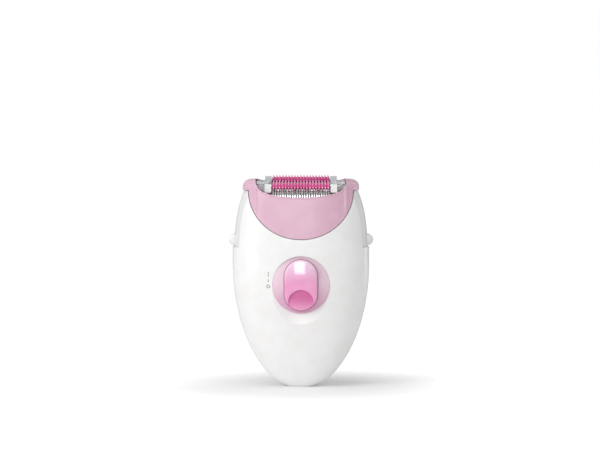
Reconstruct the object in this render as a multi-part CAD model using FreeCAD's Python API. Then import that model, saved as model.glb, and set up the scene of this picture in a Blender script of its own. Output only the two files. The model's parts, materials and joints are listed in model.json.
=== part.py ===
# Hand-held epilator, built as an assembly of separate named pieces. Units are millimetres.
# +Z runs from the foot to the tweezer head, the switch side faces -Y and +X is to the right
# of someone looking at the switch. The origin is the middle of the flat foot.
import FreeCAD, Part
import math
import os
from FreeCAD import Vector

os.makedirs("parts", exist_ok=True)

# ---- casing -------------------------------------------------------------------------------
HALF_WIDTH = 37.0          # half of the greatest width, at WIDEST_Z
WIDEST_Z = 66.0
FRONT_DEPTH = 19.0         # from the parting plane to the front, at WIDEST_Z
BACK_DEPTH = 21.0          # from the parting plane to the back, at WIDEST_Z
FOOT_REACH_X = 67.3        # height over which the width would taper to nothing, downwards
FOOT_REACH_Y = 68.4        # the same for the depth
TOP_REACH = 61.0           # the same for both, upwards
SQUARENESS = 2.3           # exponent of the section: 2 is an ellipse, more is squarer
WALL = 2.2
FOOT_HEIGHT = 5.2          # height of the separate ring the shells stand on
SHOULDER_TOP = 105.6       # top edge of the shells beside the head
SEAM = 0.4                 # width of the groove where the front and back shells meet
SEAM_DEPTH = 0.35

# ---- clearances ---------------------------------------------------------------------------
SMALL_GAP = 0.1            # between pieces of one body
BODY_GAP = 0.35            # between pieces that move against each other
RUN_FIT = 0.05             # radial clearance of a turning or sliding round fit
SPLINE_ALLOWANCE = 0.3     # how far a section may bulge between the points it is drawn through

# ---- side panels and release buttons ------------------------------------------------------
PANEL_HALF_DEPTH = 9.8     # half the length of each side panel along Y
PANEL_BOTTOM = 75.4
PANEL_INSET = 0.8          # step from the shells down to the panels
BUTTON_Z = 79.25
BUTTON_RADIUS = 3.1
BUTTON_HALF_LENGTH = 4.4   # along Y
BUTTON_CENTRE_X = 35.9
FLANGE_FACE_X = 33.0       # outer face of the flange that keeps the button in
FLANGE_THICKNESS = 1.2
CAGE_FACE_X = 28.0         # wall that the button spring pushes against
CAGE_WALL = 1.2
STEM_RADIUS = 1.4
SPRING_WIRE = 0.35
SPRING_TURNS = 3.5

# ---- dish, bezel and slider of the switch -------------------------------------------------
DISH_Z = 47.3
DISH_RADIUS = 18.7
DISH_DEPTH = 2.6
BEZEL_Z = 55.7
BEZEL_RADIUS = 15.2
BEZEL_DOME_RADIUS = 46.0
BEZEL_FRONT_Y = -20.6
SEAT_FLOOR_Y = -14.6       # floor of the round pocket the bezel stands in
SEAT_WALL = 1.4
TRACK_WIDTH = 20.5
TRACK_Y = -19.6            # flat band of the bezel behind the slider
SLIDER_WIDTH = 17.8
SLIDER_HEIGHT = 27.0
SLIDER_EDGE = 1.7          # thickness of the slider at its edge
SLIDER_DOME = 1.3          # further rise of its middle
SCOOP_WIDTH = 13.3
SCOOP_TOP_Z = 53.5
SCOOP_BOTTOM_Z = 43.9
SCOOP_DEPTH = 1.5
SWITCH_TRAVEL = 6.0
STEM_WIDTH = 4.0
STEM_HEIGHT = 8.0
CARRIER_THICKNESS = 0.8
CONTACT_THICKNESS = 0.2

# ---- circuit board ------------------------------------------------------------------------
BOARD_FRONT_Y = -11.5
BOARD_THICKNESS = 1.2
BOARD_LEFT = -17.0
BOARD_RIGHT = 9.2
BOARD_LOW = 41.0
BOARD_HIGH = 69.0
BOARD_SCREWS = [(-14.5, 66.0), (7.0, 44.0)]     # X and Z
BOARD_BOSS_RADIUS = 2.0
BOARD_BOSS_BACK_Y = -6.9   # the bosses stop short of the motor
BOARD_SCREW_TIP_Y = -7.2
LEAD_RADIUS = 0.6

# ---- power inlet --------------------------------------------------------------------------
INLET_HALF_X = 5.5
INLET_HALF_Y = 3.4
INLET_WALL = 1.2
INLET_TOP = 14.0
INLET_ROOF = 1.5
PIN_RADIUS = 0.8           # the part a plug slides over
PIN_ROOT_RADIUS = 1.1      # the part pressed through the roof
PIN_ROOT_Z = 12.3
PIN_CHAMFER = 0.25
PIN_X = 2.5
PIN_TIP_Z = 5.3
PIN_TAIL = 3.0

# ---- screws -------------------------------------------------------------------------------
SCREW_RADIUS = 1.1
SCREW_HEAD_RADIUS = 2.1
SCREW_HEAD = 1.4
SMALL_SCREW_RADIUS = 0.8
SMALL_SCREW_HEAD_RADIUS = 1.6
SMALL_SCREW_HEAD = 0.8
SHELL_SCREWS = [(-12.0, 24.0), (12.0, 24.0), (-29.5, 66.0), (29.5, 66.0)]       # X and Z
SHELL_SCREW_TIP_Y = -7.0
SHELL_SCREW_HEAD_Y = 5.0
SCREW_BOSS_RADIUS = 2.9
CHASSIS_POSTS = [(-14.5, 45.0), (6.0, 45.0), (-14.5, 72.5), (6.0, 72.5)]        # X and Z
POST_PILOT = 2.0           # how far the chassis screws reach into their posts
HEAD_SCREWS = [(-25.9, -4.4), (-25.9, 4.4), (25.9, -4.4), (25.9, 4.4)]          # X and Y
HEAD_SCREW_REACH = 6.0

# ---- gears --------------------------------------------------------------------------------
MODULE = 0.6
PRESSURE_ANGLE = math.radians(25)
ADDENDUM = 0.85 * MODULE
DEDENDUM = 1.25 * MODULE
BACKLASH = 0.12
MOTOR_TEETH = 12
WHEEL_TEETH = 40
SMALL_TEETH = 14
OUTPUT_TEETH = 34
DRUM_TEETH = 26
AXLE_RADIUS = 1.2
WHEEL_X = 12.3
WHEEL_FACE = 3.0
OUTPUT_X = 20.4
OUTPUT_FACE = 3.0

# ---- tweezer drum -------------------------------------------------------------------------
DRUM_Y = -0.8
DRUM_Z = 101.6
DRUM_AXLE_RADIUS = 1.5
DRUM_CORE_RADIUS = 4.0
DISC_RADIUS = 8.0
DISC_THICKNESS = 0.5
DISC_COUNT = 12
DRUM_HALF_LENGTH = 15.6
PINCH = 0.35               # how far the moving discs slide
NIP = PINCH + BODY_GAP     # open gap between a fixed disc and its moving partner
BLADES = 6                 # blades around each disc
NOTCH_RADIUS = 1.7
NOTCH_CIRCLE = 8.9
ROD_RADIUS = 0.7
ROD_CIRCLE = 5.8
ROD_OVERHANG = 0.7

# ---- motor --------------------------------------------------------------------------------
MOTOR_Y = 2.2
WHEEL_Y = 0.9
MOTOR_RADIUS = 11.5
MOTOR_LEFT = -17.0
MOTOR_RIGHT = 9.4
MOTOR_WALL = 1.0
MOTOR_CAP = 3.0
MOTOR_SHAFT_RADIUS = 1.15
MAGNET_THICKNESS = 2.2

# ---- chassis ------------------------------------------------------------------------------
CHASSIS_BACK_Y = 15.2
PLATE_X0 = MOTOR_RIGHT     # the plate the motor is flanged to
PLATE_X1 = MOTOR_RIGHT + 1.7
COVER_THICKNESS = 1.4
TIE_RADIUS = 1.6
TIES = [(-9.8, 57.0), (11.2, 59.0), (10.2, 47.5)]     # Y and Z of the posts between the plates
TIE_SCREW_REACH = 4.0
CHASSIS_WALL = 1.4
CHASSIS_BOTTOM = 42.0
CHASSIS_TOP = 87.0
BACK_PLATE_TOP = 75.8
BACK_PLATE_HALF = 18.0
COVER_X = 24.2
DECK_TOP = 89.0
DECK_WALL = 1.5
DECK_BOTTOM = 76.5
SKIRT_HALF_X = 19.4

# ---- head ---------------------------------------------------------------------------------
APRON_HALF_WIDTH = 28.0
APRON_DROP = 26.0
APRON_Z = 106.0            # level at which the apron is widest
APRON_WALL = 1.8
POST_INNER_X = 24.2        # inner face of each horn
RIM_MIDDLE_Z = 102.0
RIM_SIDE_Z = 104.8
RIM_SIDE_X = 19.4
REAR_RIM_Z = 110.4
HORN_BASE_Z = 106.0
HORN_TOP_Z = 112.0
HORN_STRAIGHT = 2.0        # upright part of each horn before its top rounds over
HORN_INSET = 4.9           # how far the rounded top is drawn in across the width
HORN_DEPTH_SHARE = 0.3     # the same front and back, as a share of that
HORN_RISES = (0, 1, 2, 2.8, 3.6, 4.3, 4.9, 5.4, 5.75, 5.93, 6)
FLOOR_Z = 91.2
FLOOR_THICKNESS = 1.8
FLOOR_HALF_X = 27.6
FLOOR_HALF_Y = 14.2
BEARING_WALL_X = 17.2
BEARING_WALL = 2.8
BEARING_WALL_TOP = 104.3
BUSHING_RADIUS = 2.4
BEARING_BOSS = 4.0
PRESS_ROLLER_RADIUS = 1.4
PRESS_ROLLER_HALF = 1.7
PRESS_PIN_RADIUS = 0.5
PRESS_PIN_HALF = PRESS_ROLLER_HALF + 1.6
PRESS_X = BEARING_WALL_X + PRESS_ROLLER_RADIUS - 0.2

# ---- massage cap --------------------------------------------------------------------------
FRONT_ROLLER = (-9.8, 108.2)   # Y and Z of its axis
REAR_ROLLER = (6.8, 111.4)
ROLLER_CORE = 1.5
ROLLER_TIP = 2.5
ROLLER_LENGTH = 31.0
ROLLER_NUBS = 19           # nubs along the roller
ROLLER_ROWS = 6            # nubs around the roller
ROLLER_PIN = 0.6
END_PLATE_X = 15.9
END_PLATE = 3.5
ARM_END_X = 23.6

X_AXIS = Vector(1, 0, 0)
Y_AXIS = Vector(0, 1, 0)
Z_AXIS = Vector(0, 0, 1)


# ---- small builders -----------------------------------------------------------------------
def box(x0, x1, y0, y1, z0, z1):
    return Part.makeBox(x1 - x0, y1 - y0, z1 - z0, Vector(x0, y0, z0))


def rod_x(x0, x1, y, z, radius):
    return Part.makeCylinder(radius, x1 - x0, Vector(x0, y, z), X_AXIS)


def rod_y(x, y0, y1, z, radius):
    return Part.makeCylinder(radius, y1 - y0, Vector(x, y0, z), Y_AXIS)


def rod_z(x, y, z0, z1, radius):
    return Part.makeCylinder(radius, z1 - z0, Vector(x, y, z0), Z_AXIS)


def tube_x(x0, x1, y, z, radius, bore):
    return rod_x(x0, x1, y, z, radius).cut(rod_x(x0 - 1, x1 + 1, y, z, bore))


def prism_x(points, x0, x1):
    """A solid with a polygonal outline, given as (y, z) pairs, running along X."""
    corners = [Vector(x0, y, z) for y, z in points]
    face = Part.Face(Part.makePolygon(corners + corners[:1]))
    return face.extrude(Vector(x1 - x0, 0, 0))


def fuse(shapes):
    return shapes[0].multiFuse(shapes[1:]).removeSplitter()


def mirrored(shape):
    return shape.mirror(Vector(0, 0, 0), X_AXIS)


def save(name, shape):
    if shape.ShapeType == "Compound" and len(shape.Solids) == 1:
        shape = shape.Solids[0]
    shape.exportStep("parts/" + name + ".step")


def save_group(name, solids):
    Part.makeCompound(solids).exportStep("parts/" + name + ".step")


# ---- casing form --------------------------------------------------------------------------
def half_width(z):
    if z < WIDEST_Z:
        return HALF_WIDTH * math.sqrt(1 - ((WIDEST_Z - z) / FOOT_REACH_X) ** 2)
    return HALF_WIDTH * math.sqrt(1 - ((z - WIDEST_Z) / TOP_REACH) ** 3)


def half_depth(z, depth):
    if z < WIDEST_Z:
        return depth * math.sqrt(1 - ((WIDEST_Z - z) / FOOT_REACH_Y) ** 2)
    return depth * math.sqrt(1 - ((z - WIDEST_Z) / TOP_REACH) ** 3)


def oval(half_x, front_y, back_y, z, count=36):
    """Closed smooth wire: a superellipse whose front and back halves differ in depth."""
    points = []
    for step in range(count):
        angle = 2 * math.pi * step / count
        c = math.cos(angle)
        s = math.sin(angle)
        depth = back_y if s > 0 else front_y
        x = half_x * math.copysign(abs(c) ** (2 / SQUARENESS), c)
        y = depth * math.copysign(abs(s) ** (2 / SQUARENESS), s)
        points.append(Vector(x, y, z))
    curve = Part.BSplineCurve()
    curve.interpolate(Points=points, PeriodicFlag=True)
    return Part.Wire([curve.toShape()])


def casing(offset, z_low, z_high):
    """The solid egg form of the body, grown by offset, between two heights."""
    stations = [WIDEST_Z - FOOT_REACH_X * math.sin(math.radians(a)) for a in (74, 66, 57, 47, 37, 27, 16, 6)]
    stations += [WIDEST_Z + step for step in (6, 13, 20, 27, 33, 38, 42, 45)]
    inside = sorted(z for z in stations if z_low + 1 < z < z_high - 1)
    wires = []
    for z in [z_low] + inside + [z_high]:
        front = half_depth(z, FRONT_DEPTH) + offset
        back = half_depth(z, BACK_DEPTH) + offset
        wires.append(oval(half_width(z) + offset, front, back, z))
    return Part.makeLoft(wires, True, False)


def apron_prism(grow):
    """U-shaped outline of the head seen from the front, run through the whole depth."""
    a = APRON_HALF_WIDTH + grow
    ellipse = Part.Ellipse(Vector(0, 0, 0), a, APRON_DROP + grow)
    arc = Part.ArcOfEllipse(ellipse, math.pi, 2 * math.pi).toShape()
    right = Vector(a, 0, 0)
    left = Vector(-a, 0, 0)
    up = Vector(0, 20, 0)
    sides = [Part.makeLine(right, right + up), Part.makeLine(right + up, left + up)]
    sides.append(Part.makeLine(left + up, left))
    solid = Part.Face(Part.Wire([arc] + sides)).extrude(Vector(0, 0, 80))
    solid.translate(Vector(0, 0, -40))
    solid.rotate(Vector(0, 0, 0), X_AXIS, 90)
    solid.translate(Vector(0, 0, APRON_Z))
    return solid


# ---- gear train layout: every axis runs along X ------------------------------------------
def pitch_radius(teeth):
    return MODULE * teeth / 2


def below(upper, y, distance):
    """Centre of a gear at a given Y that is `distance` from, and under, another centre."""
    return (y, upper[1] - math.sqrt(distance ** 2 - (upper[0] - y) ** 2))


DRUM = (DRUM_Y, DRUM_Z)
OUTPUT = below(DRUM, DRUM_Y, pitch_radius(DRUM_TEETH) + pitch_radius(OUTPUT_TEETH))
WHEEL = below(OUTPUT, WHEEL_Y, pitch_radius(OUTPUT_TEETH) + pitch_radius(SMALL_TEETH))
MOTOR = below(WHEEL, MOTOR_Y, pitch_radius(WHEEL_TEETH) + pitch_radius(MOTOR_TEETH))


def direction(start, end):
    return math.atan2(end[1] - start[1], end[0] - start[0])


def meshed_phase(phase, teeth, other_teeth, start, end):
    """Angle of a tooth of the gear at `end` that meshes with the gear at `start`."""
    line = direction(start, end)
    return line + math.pi - (phase - line) * teeth / other_teeth + math.pi / other_teeth


def involute(angle):
    return math.tan(angle) - angle


def gear(teeth, centre, phase, x0, x1):
    """Spur gear with flat-faceted involute flanks, one tooth centred at the angle phase."""
    pitch = pitch_radius(teeth)
    base = pitch * math.cos(PRESSURE_ANGLE)
    tip = pitch + ADDENDUM
    root = pitch - DEDENDUM
    thickness = math.pi * MODULE / 2 - BACKLASH / 2
    radii = [max(base, root) + (tip - max(base, root)) * k / 4 for k in range(5)]
    flank = []
    for radius in radii:
        roll = math.acos(min(1.0, base / radius))
        flank.append((radius, thickness / (2 * pitch) + involute(PRESSURE_ANGLE) - involute(roll)))
    if root < base:
        flank.insert(0, (root, flank[0][1]))
    points = []
    for tooth in range(teeth):
        middle = phase + 2 * math.pi * tooth / teeth
        for side, order in ((-1, flank), (1, flank[::-1])):
            for radius, half_angle in order:
                angle = middle + side * half_angle
                points.append((centre[0] + radius * math.cos(angle), centre[1] + radius * math.sin(angle)))
    return prism_x(points, x0, x1)


MOTOR_PHASE = direction(MOTOR, WHEEL)
WHEEL_PHASE = meshed_phase(MOTOR_PHASE, MOTOR_TEETH, WHEEL_TEETH, MOTOR, WHEEL)
OUTPUT_PHASE = meshed_phase(WHEEL_PHASE, SMALL_TEETH, OUTPUT_TEETH, WHEEL, OUTPUT)
DRUM_PHASE = meshed_phase(OUTPUT_PHASE, OUTPUT_TEETH, DRUM_TEETH, OUTPUT, DRUM)


# ---- shells, foot and side panels ---------------------------------------------------------
def dish_ball(grow):
    """Ball that hollows the round dish around the lower half of the bezel."""
    radius = (DISH_RADIUS ** 2 + DISH_DEPTH ** 2) / (2 * DISH_DEPTH)
    surface = -half_depth(DISH_Z, FRONT_DEPTH)
    return Part.makeSphere(radius + grow, Vector(0, surface + DISH_DEPTH - radius, DISH_Z))


def button_slot(grow):
    half_z = BUTTON_RADIUS + grow
    half_y = BUTTON_HALF_LENGTH + grow
    return box(FLANGE_FACE_X, 45, -half_y, half_y, BUTTON_Z - half_z, BUTTON_Z + half_z)


def make_shells():
    outer = casing(0, FOOT_HEIGHT, SHOULDER_TOP).cut(dish_ball(0))
    inner = casing(-WALL, FOOT_HEIGHT - 1, SHOULDER_TOP + 1).cut(dish_ball(WALL))
    front_half = box(-50, 50, -40, 0, -5, 120)
    back_half = box(-50, 50, 0, 40, -5, 120)
    seam = box(-50, 50, -SEAM / 2, SEAM / 2, -5, 120).cut(casing(-SEAM_DEPTH, 0, SHOULDER_TOP + 1))
    head_hole = apron_prism(BODY_GAP)
    window = box(20, 60, -PANEL_HALF_DEPTH, PANEL_HALF_DEPTH, PANEL_BOTTOM, 120)
    windows = [window, mirrored(window)]

    bosses = [rod_y(x, -30, 0, z, SCREW_BOSS_RADIUS) for x, z in SHELL_SCREWS]
    seat = rod_y(0, -30, SEAT_FLOOR_Y + SEAT_WALL, BEZEL_Z, BEZEL_RADIUS + SMALL_GAP + WALL)
    front = outer.common(front_half).cut(inner.common(front_half).cut(fuse(bosses + [seat])))
    pocket = rod_y(0, -40, SEAT_FLOOR_Y, BEZEL_Z, BEZEL_RADIUS + SMALL_GAP)
    pilots = [rod_y(x, SHELL_SCREW_TIP_Y, 1, z, SCREW_RADIUS) for x, z in SHELL_SCREWS]
    front = front.cut([pocket, stem_slot(), seam, head_hole] + windows + pilots)

    bosses = [rod_y(x, 0, 30, z, SCREW_BOSS_RADIUS) for x, z in SHELL_SCREWS]
    posts = [rod_y(x, CHASSIS_BACK_Y, 30, z, SCREW_BOSS_RADIUS) for x, z in CHASSIS_POSTS]
    back = outer.common(back_half).cut(inner.common(back_half).cut(fuse(bosses + posts)))
    holes = [rod_y(x, -1, 40, z, SCREW_RADIUS + SMALL_GAP) for x, z in SHELL_SCREWS]
    holes += [rod_y(x, SHELL_SCREW_HEAD_Y, 40, z, SCREW_HEAD_RADIUS + SMALL_GAP) for x, z in SHELL_SCREWS]
    holes += [rod_y(x, 10, CHASSIS_BACK_Y + POST_PILOT, z, SCREW_RADIUS) for x, z in CHASSIS_POSTS]
    back = back.cut([seam, head_hole] + windows + holes)
    save("front_shell", front)
    save("back_shell", back)


def screw_y(x, z, tip_y, head_y):
    """Screw along Y with its head at the larger Y."""
    shank = rod_y(x, tip_y, head_y, z, SCREW_RADIUS)
    head = rod_y(x, head_y, head_y + SCREW_HEAD, z, SCREW_HEAD_RADIUS)
    slot = box(x - 1.5, x + 1.5, head_y + SCREW_HEAD - 0.5, head_y + SCREW_HEAD + 1, z - 0.3, z + 0.3)
    cross = box(x - 0.3, x + 0.3, head_y + SCREW_HEAD - 0.5, head_y + SCREW_HEAD + 1, z - 1.5, z + 1.5)
    return fuse([shank, head]).cut([slot, cross])


def inlet_hole(z_low, z_high, grow=0.0):
    half_x = INLET_HALF_X + grow
    half_y = INLET_HALF_Y + grow
    hole = box(-half_x, half_x, -half_y, half_y, z_low, z_high)
    upright = [e for e in hole.Edges if abs(e.Vertexes[0].Z - e.Vertexes[1].Z) > 1]
    return hole.makeFillet(1.0 + grow, upright)


def make_foot_and_inlet():
    foot = casing(0, 0, FOOT_HEIGHT).cut(inlet_hole(-1, FOOT_HEIGHT + 1))
    save("foot_ring", foot)
    housing = inlet_hole(FOOT_HEIGHT, INLET_TOP, INLET_WALL)
    housing = housing.cut(inlet_hole(FOOT_HEIGHT - 1, INLET_TOP - INLET_ROOF))
    bores = [rod_z(s * PIN_X, 0, 0, INLET_TOP + 1, PIN_ROOT_RADIUS) for s in (-1, 1)]
    save("inlet_housing", housing.cut(bores))
    pins = []
    for s in (-1, 1):
        blade = rod_z(s * PIN_X, 0, PIN_TIP_Z, PIN_ROOT_Z, PIN_RADIUS)
        tip = [e for e in blade.Edges if e.BoundBox.ZMax < PIN_TIP_Z + 0.01]
        root = rod_z(s * PIN_X, 0, PIN_ROOT_Z, INLET_TOP + PIN_TAIL, PIN_ROOT_RADIUS)
        pins.append(blade.makeChamfer(PIN_CHAMFER, tip).fuse(root))
    save_group("inlet_pins", pins)


def make_side_panels():
    """Right panel with the cage that guides the release button; the left one mirrors it."""
    skin = casing(-PANEL_INSET, PANEL_BOTTOM - 2, SHOULDER_TOP)
    hollow = casing(-WALL, PANEL_BOTTOM - 3, SHOULDER_TOP + 1)
    bottom = PANEL_BOTTOM + SMALL_GAP
    half = PANEL_HALF_DEPTH - SMALL_GAP
    zone = box(20, 60, -half, half, bottom, SHOULDER_TOP)
    cage_y = BUTTON_HALF_LENGTH + 1.6
    cage_top = BUTTON_Z + BUTTON_RADIUS + 1.9
    cage = box(CAGE_FACE_X - CAGE_WALL, 40, -cage_y - CAGE_WALL, cage_y + CAGE_WALL, bottom, cage_top)
    cage = cage.cut(box(CAGE_FACE_X, 41, -cage_y, cage_y, bottom - 1, cage_top + 1))
    panel = skin.common(zone).cut(hollow.cut(cage)).cut(apron_prism(BODY_GAP))
    stem_bore = rod_x(20, 30, 0, BUTTON_Z, STEM_RADIUS + RUN_FIT)
    panel = panel.cut([button_slot(BODY_GAP), stem_bore])
    save("side_panel_right", panel)
    save("side_panel_left", mirrored(panel))


def make_release_buttons():
    """Right button: domed bump, neck, flange behind the panel and guide stem."""
    bump = rod_y(BUTTON_CENTRE_X, -BUTTON_HALF_LENGTH, BUTTON_HALF_LENGTH, BUTTON_Z, BUTTON_RADIUS)
    bump = bump.makeFillet(1.6, [e for e in bump.Edges if e.Length > 4 * BUTTON_RADIUS])
    ridges = [rod_y(BUTTON_CENTRE_X + BUTTON_RADIUS * math.cos(a) * 0.99, -2.4, 2.4,
                    BUTTON_Z + BUTTON_RADIUS * math.sin(a) * 0.99, 0.28) for a in (-0.5, 0.0, 0.5)]
    half = BUTTON_HALF_LENGTH
    inner_z = BUTTON_RADIUS * 0.94
    neck = box(FLANGE_FACE_X - FLANGE_THICKNESS, BUTTON_CENTRE_X, -half + 0.3, half - 0.3,
               BUTTON_Z - inner_z, BUTTON_Z + inner_z)
    flange = box(FLANGE_FACE_X - FLANGE_THICKNESS, FLANGE_FACE_X, -half - 1.1, half + 1.1,
                 BUTTON_Z - BUTTON_RADIUS - 0.9, BUTTON_Z + BUTTON_RADIUS + 0.9)
    stem = rod_x(CAGE_FACE_X - 0.4, FLANGE_FACE_X, 0, BUTTON_Z, STEM_RADIUS)
    button = fuse([bump, neck, flange, stem] + ridges)
    save("release_button_right", button)
    save("release_button_left", mirrored(button))

    start = CAGE_FACE_X
    length = FLANGE_FACE_X - FLANGE_THICKNESS - CAGE_FACE_X - SPRING_WIRE
    mean = STEM_RADIUS + 0.3 + SPRING_WIRE / 2
    helix = Part.makeHelix(length / SPRING_TURNS, length, mean)
    circle = Part.makeCircle(SPRING_WIRE / 2, Vector(mean, 0, 0), Y_AXIS)
    coil = Part.Wire(helix.Edges).makePipeShell([Part.Wire(circle)], True, True)
    coil.rotate(Vector(0, 0, 0), Y_AXIS, 90)
    coil.translate(Vector(start + SPRING_WIRE / 2, 0, BUTTON_Z))
    save("button_spring_right", coil)
    coil.rotate(Vector(0, 0, 0), Z_AXIS, 180)
    save("button_spring_left", coil)


# ---- switch -------------------------------------------------------------------------------
def stem_slot():
    """Slot through the bezel and the shell that the slider's stem runs in."""
    low = BEZEL_Z - STEM_HEIGHT / 2 - BODY_GAP
    high = BEZEL_Z + STEM_HEIGHT / 2 + SWITCH_TRAVEL + BODY_GAP
    half = STEM_WIDTH / 2 + BODY_GAP
    return box(-half, half, -40, -10, low, high)


def stadium(width, height, y0, y1):
    radius = width / 2
    reach = (height - width) / 2
    middle = box(-radius, radius, y0, y1, BEZEL_Z - reach, BEZEL_Z + reach)
    ends = [rod_y(0, y0, y1, BEZEL_Z + s * reach, radius) for s in (-1, 1)]
    return fuse([middle] + ends)


def make_switch():
    dome = Part.makeSphere(BEZEL_DOME_RADIUS, Vector(0, BEZEL_FRONT_Y + BEZEL_DOME_RADIUS, BEZEL_Z))
    disc = rod_y(0, -30, SEAT_FLOOR_Y, BEZEL_Z, BEZEL_RADIUS).common(dome)
    half = TRACK_WIDTH / 2
    track = box(-half, half, -40, TRACK_Y, 30, 90)
    bezel = disc.cut([track, stem_slot()])
    save("switch_bezel", bezel)

    back = TRACK_Y - BODY_GAP
    front = back - SLIDER_EDGE - SLIDER_DOME
    slab = stadium(SLIDER_WIDTH, SLIDER_HEIGHT, front - 1, back)
    # two crossed arcs dome the slider: a tight one across it and a long one along it
    half_height = SLIDER_HEIGHT / 2
    long_radius = (half_height ** 2 + SLIDER_DOME ** 2) / (2 * SLIDER_DOME)
    ball = Part.makeSphere(long_radius, Vector(0, front + long_radius, BEZEL_Z))
    slab = slab.common(ball)
    rim = [e for e in slab.Edges if e.BoundBox.YMax < back - 0.5]
    slab = slab.makeFillet(0.9, rim)
    scoop_mid = (SCOOP_TOP_Z + SCOOP_BOTTOM_Z) / 2
    scoop_radius = 11.0
    tilt = Part.makeSphere(scoop_radius, Vector(0, front + SCOOP_DEPTH - scoop_radius, scoop_mid - 0.6))
    tilt = tilt.common(box(-SCOOP_WIDTH / 2, SCOOP_WIDTH / 2, -60, 0, 20, SCOOP_TOP_Z))
    slab = slab.cut(tilt)
    stem_half = STEM_WIDTH / 2
    carrier_front = SEAT_FLOOR_Y + SEAT_WALL + BODY_GAP
    stem_reach = STEM_HEIGHT / 2
    stem = box(-stem_half, stem_half, back - 0.8, carrier_front, BEZEL_Z - stem_reach, BEZEL_Z + stem_reach)
    save("switch_slider", fuse([slab, stem]))
    reach_z = stem_reach + 1
    contact_y = carrier_front + CARRIER_THICKNESS
    carrier = box(-5, 5, carrier_front, contact_y, BEZEL_Z - reach_z, BEZEL_Z + reach_z)
    save("switch_carrier", carrier)
    bridge = box(-3.6, 3.6, contact_y, contact_y + CONTACT_THICKNESS, BEZEL_Z - 1.6, BEZEL_Z + 1.6)
    save("switch_contact", bridge)


def make_board():
    back = BOARD_FRONT_Y + BOARD_THICKNESS
    board = box(BOARD_LEFT, BOARD_RIGHT, BOARD_FRONT_Y, back, BOARD_LOW, BOARD_HIGH)
    holes = [rod_y(x, -20, 0, z, SMALL_SCREW_RADIUS + 0.4) for x, z in BOARD_SCREWS]
    save("circuit_board", board.cut(holes))
    capacitor = rod_y(-12, back, back + 2.6, BOARD_LOW + 3, 2.5)
    diode = box(-8, -4, back, back + 1.8, BOARD_LOW + 1, BOARD_LOW + 3)
    chip = box(-2, 2, back, back + 1.2, BOARD_LOW + 0.8, BOARD_LOW + 3.4)
    save_group("board_parts", [capacitor, diode, chip])


# ---- motor --------------------------------------------------------------------------------
def make_motor():
    y, z = MOTOR
    can = rod_x(MOTOR_LEFT, MOTOR_RIGHT, y, z, MOTOR_RADIUS)
    can = can.cut(rod_x(MOTOR_LEFT - 1, MOTOR_RIGHT - MOTOR_WALL, y, z, MOTOR_RADIUS - MOTOR_WALL))
    save("motor_can", can.cut(rod_x(MOTOR_RIGHT - 3, MOTOR_RIGHT + 1, y, z, MOTOR_SHAFT_RADIUS + RUN_FIT)))

    cap = rod_x(MOTOR_LEFT - MOTOR_CAP, MOTOR_LEFT, y, z, MOTOR_RADIUS - 0.6)
    cap = fuse([cap, rod_x(MOTOR_LEFT, MOTOR_LEFT + 1.5, y, z, MOTOR_RADIUS - MOTOR_WALL)])
    cap = cap.cut(rod_x(MOTOR_LEFT - 9, MOTOR_LEFT + 9, y, z, MOTOR_SHAFT_RADIUS + RUN_FIT))
    tabs = []
    for s in (-1, 1):
        middle = y + s * 6.5
        end = MOTOR_LEFT - MOTOR_CAP
        tabs.append(box(end - 2, end + 1, middle - 0.25, middle + 0.25, z - 1.2, z + 1.2))
    save("motor_end_cap", cap.cut(tabs))
    save_group("motor_terminals", tabs)

    outer = MOTOR_RADIUS - MOTOR_WALL
    left = MOTOR_LEFT + 3.5
    right = MOTOR_RIGHT - 3.5
    ring = tube_x(left, right, y, z, outer - RUN_FIT, outer - MAGNET_THICKNESS)
    gap_z = 3.0
    ring = ring.cut(box(left - 1, right + 1, y - 20, y + 20, z - gap_z, z + gap_z))
    save_group("motor_magnets", ring.Solids)

    core_radius = outer - MAGNET_THICKNESS - 0.4
    core = rod_x(left + 1, right - 1, y, z, core_radius)
    slots = []
    for k in range(3):
        slot = box(left, right, y - 0.8, y + 0.8, z + 3.2, z + 12)
        slot = fuse([slot, rod_x(left, right, y, z + 4.6, 1.9)])
        slot.rotate(Vector(0, y, z), X_AXIS, 60 + 120 * k)
        slots.append(slot)
    core = core.cut(slots).cut(rod_x(left, right, y, z, MOTOR_SHAFT_RADIUS))
    save("motor_armature", core)
    shaft_end = WHEEL_X + WHEEL_FACE + 0.3
    save("motor_shaft", rod_x(MOTOR_LEFT - MOTOR_CAP - 0.8, shaft_end, y, z, MOTOR_SHAFT_RADIUS))
    pinion = gear(MOTOR_TEETH, MOTOR, MOTOR_PHASE, WHEEL_X - 0.3, WHEEL_X + WHEEL_FACE + 0.3)
    save("motor_pinion", pinion.cut(rod_x(0, 20, y, z, MOTOR_SHAFT_RADIUS)))


# ---- chassis and gears --------------------------------------------------------------------
def lightening_holes(centre, circle, radius, x_end):
    """Five holes on a circle around a gear's centre."""
    holes = []
    for k in range(5):
        angle = 2 * math.pi * k / 5
        y = centre[0] + circle * math.cos(angle)
        z = centre[1] + circle * math.sin(angle)
        holes.append(rod_x(0, x_end, y, z, radius))
    return holes


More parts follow.
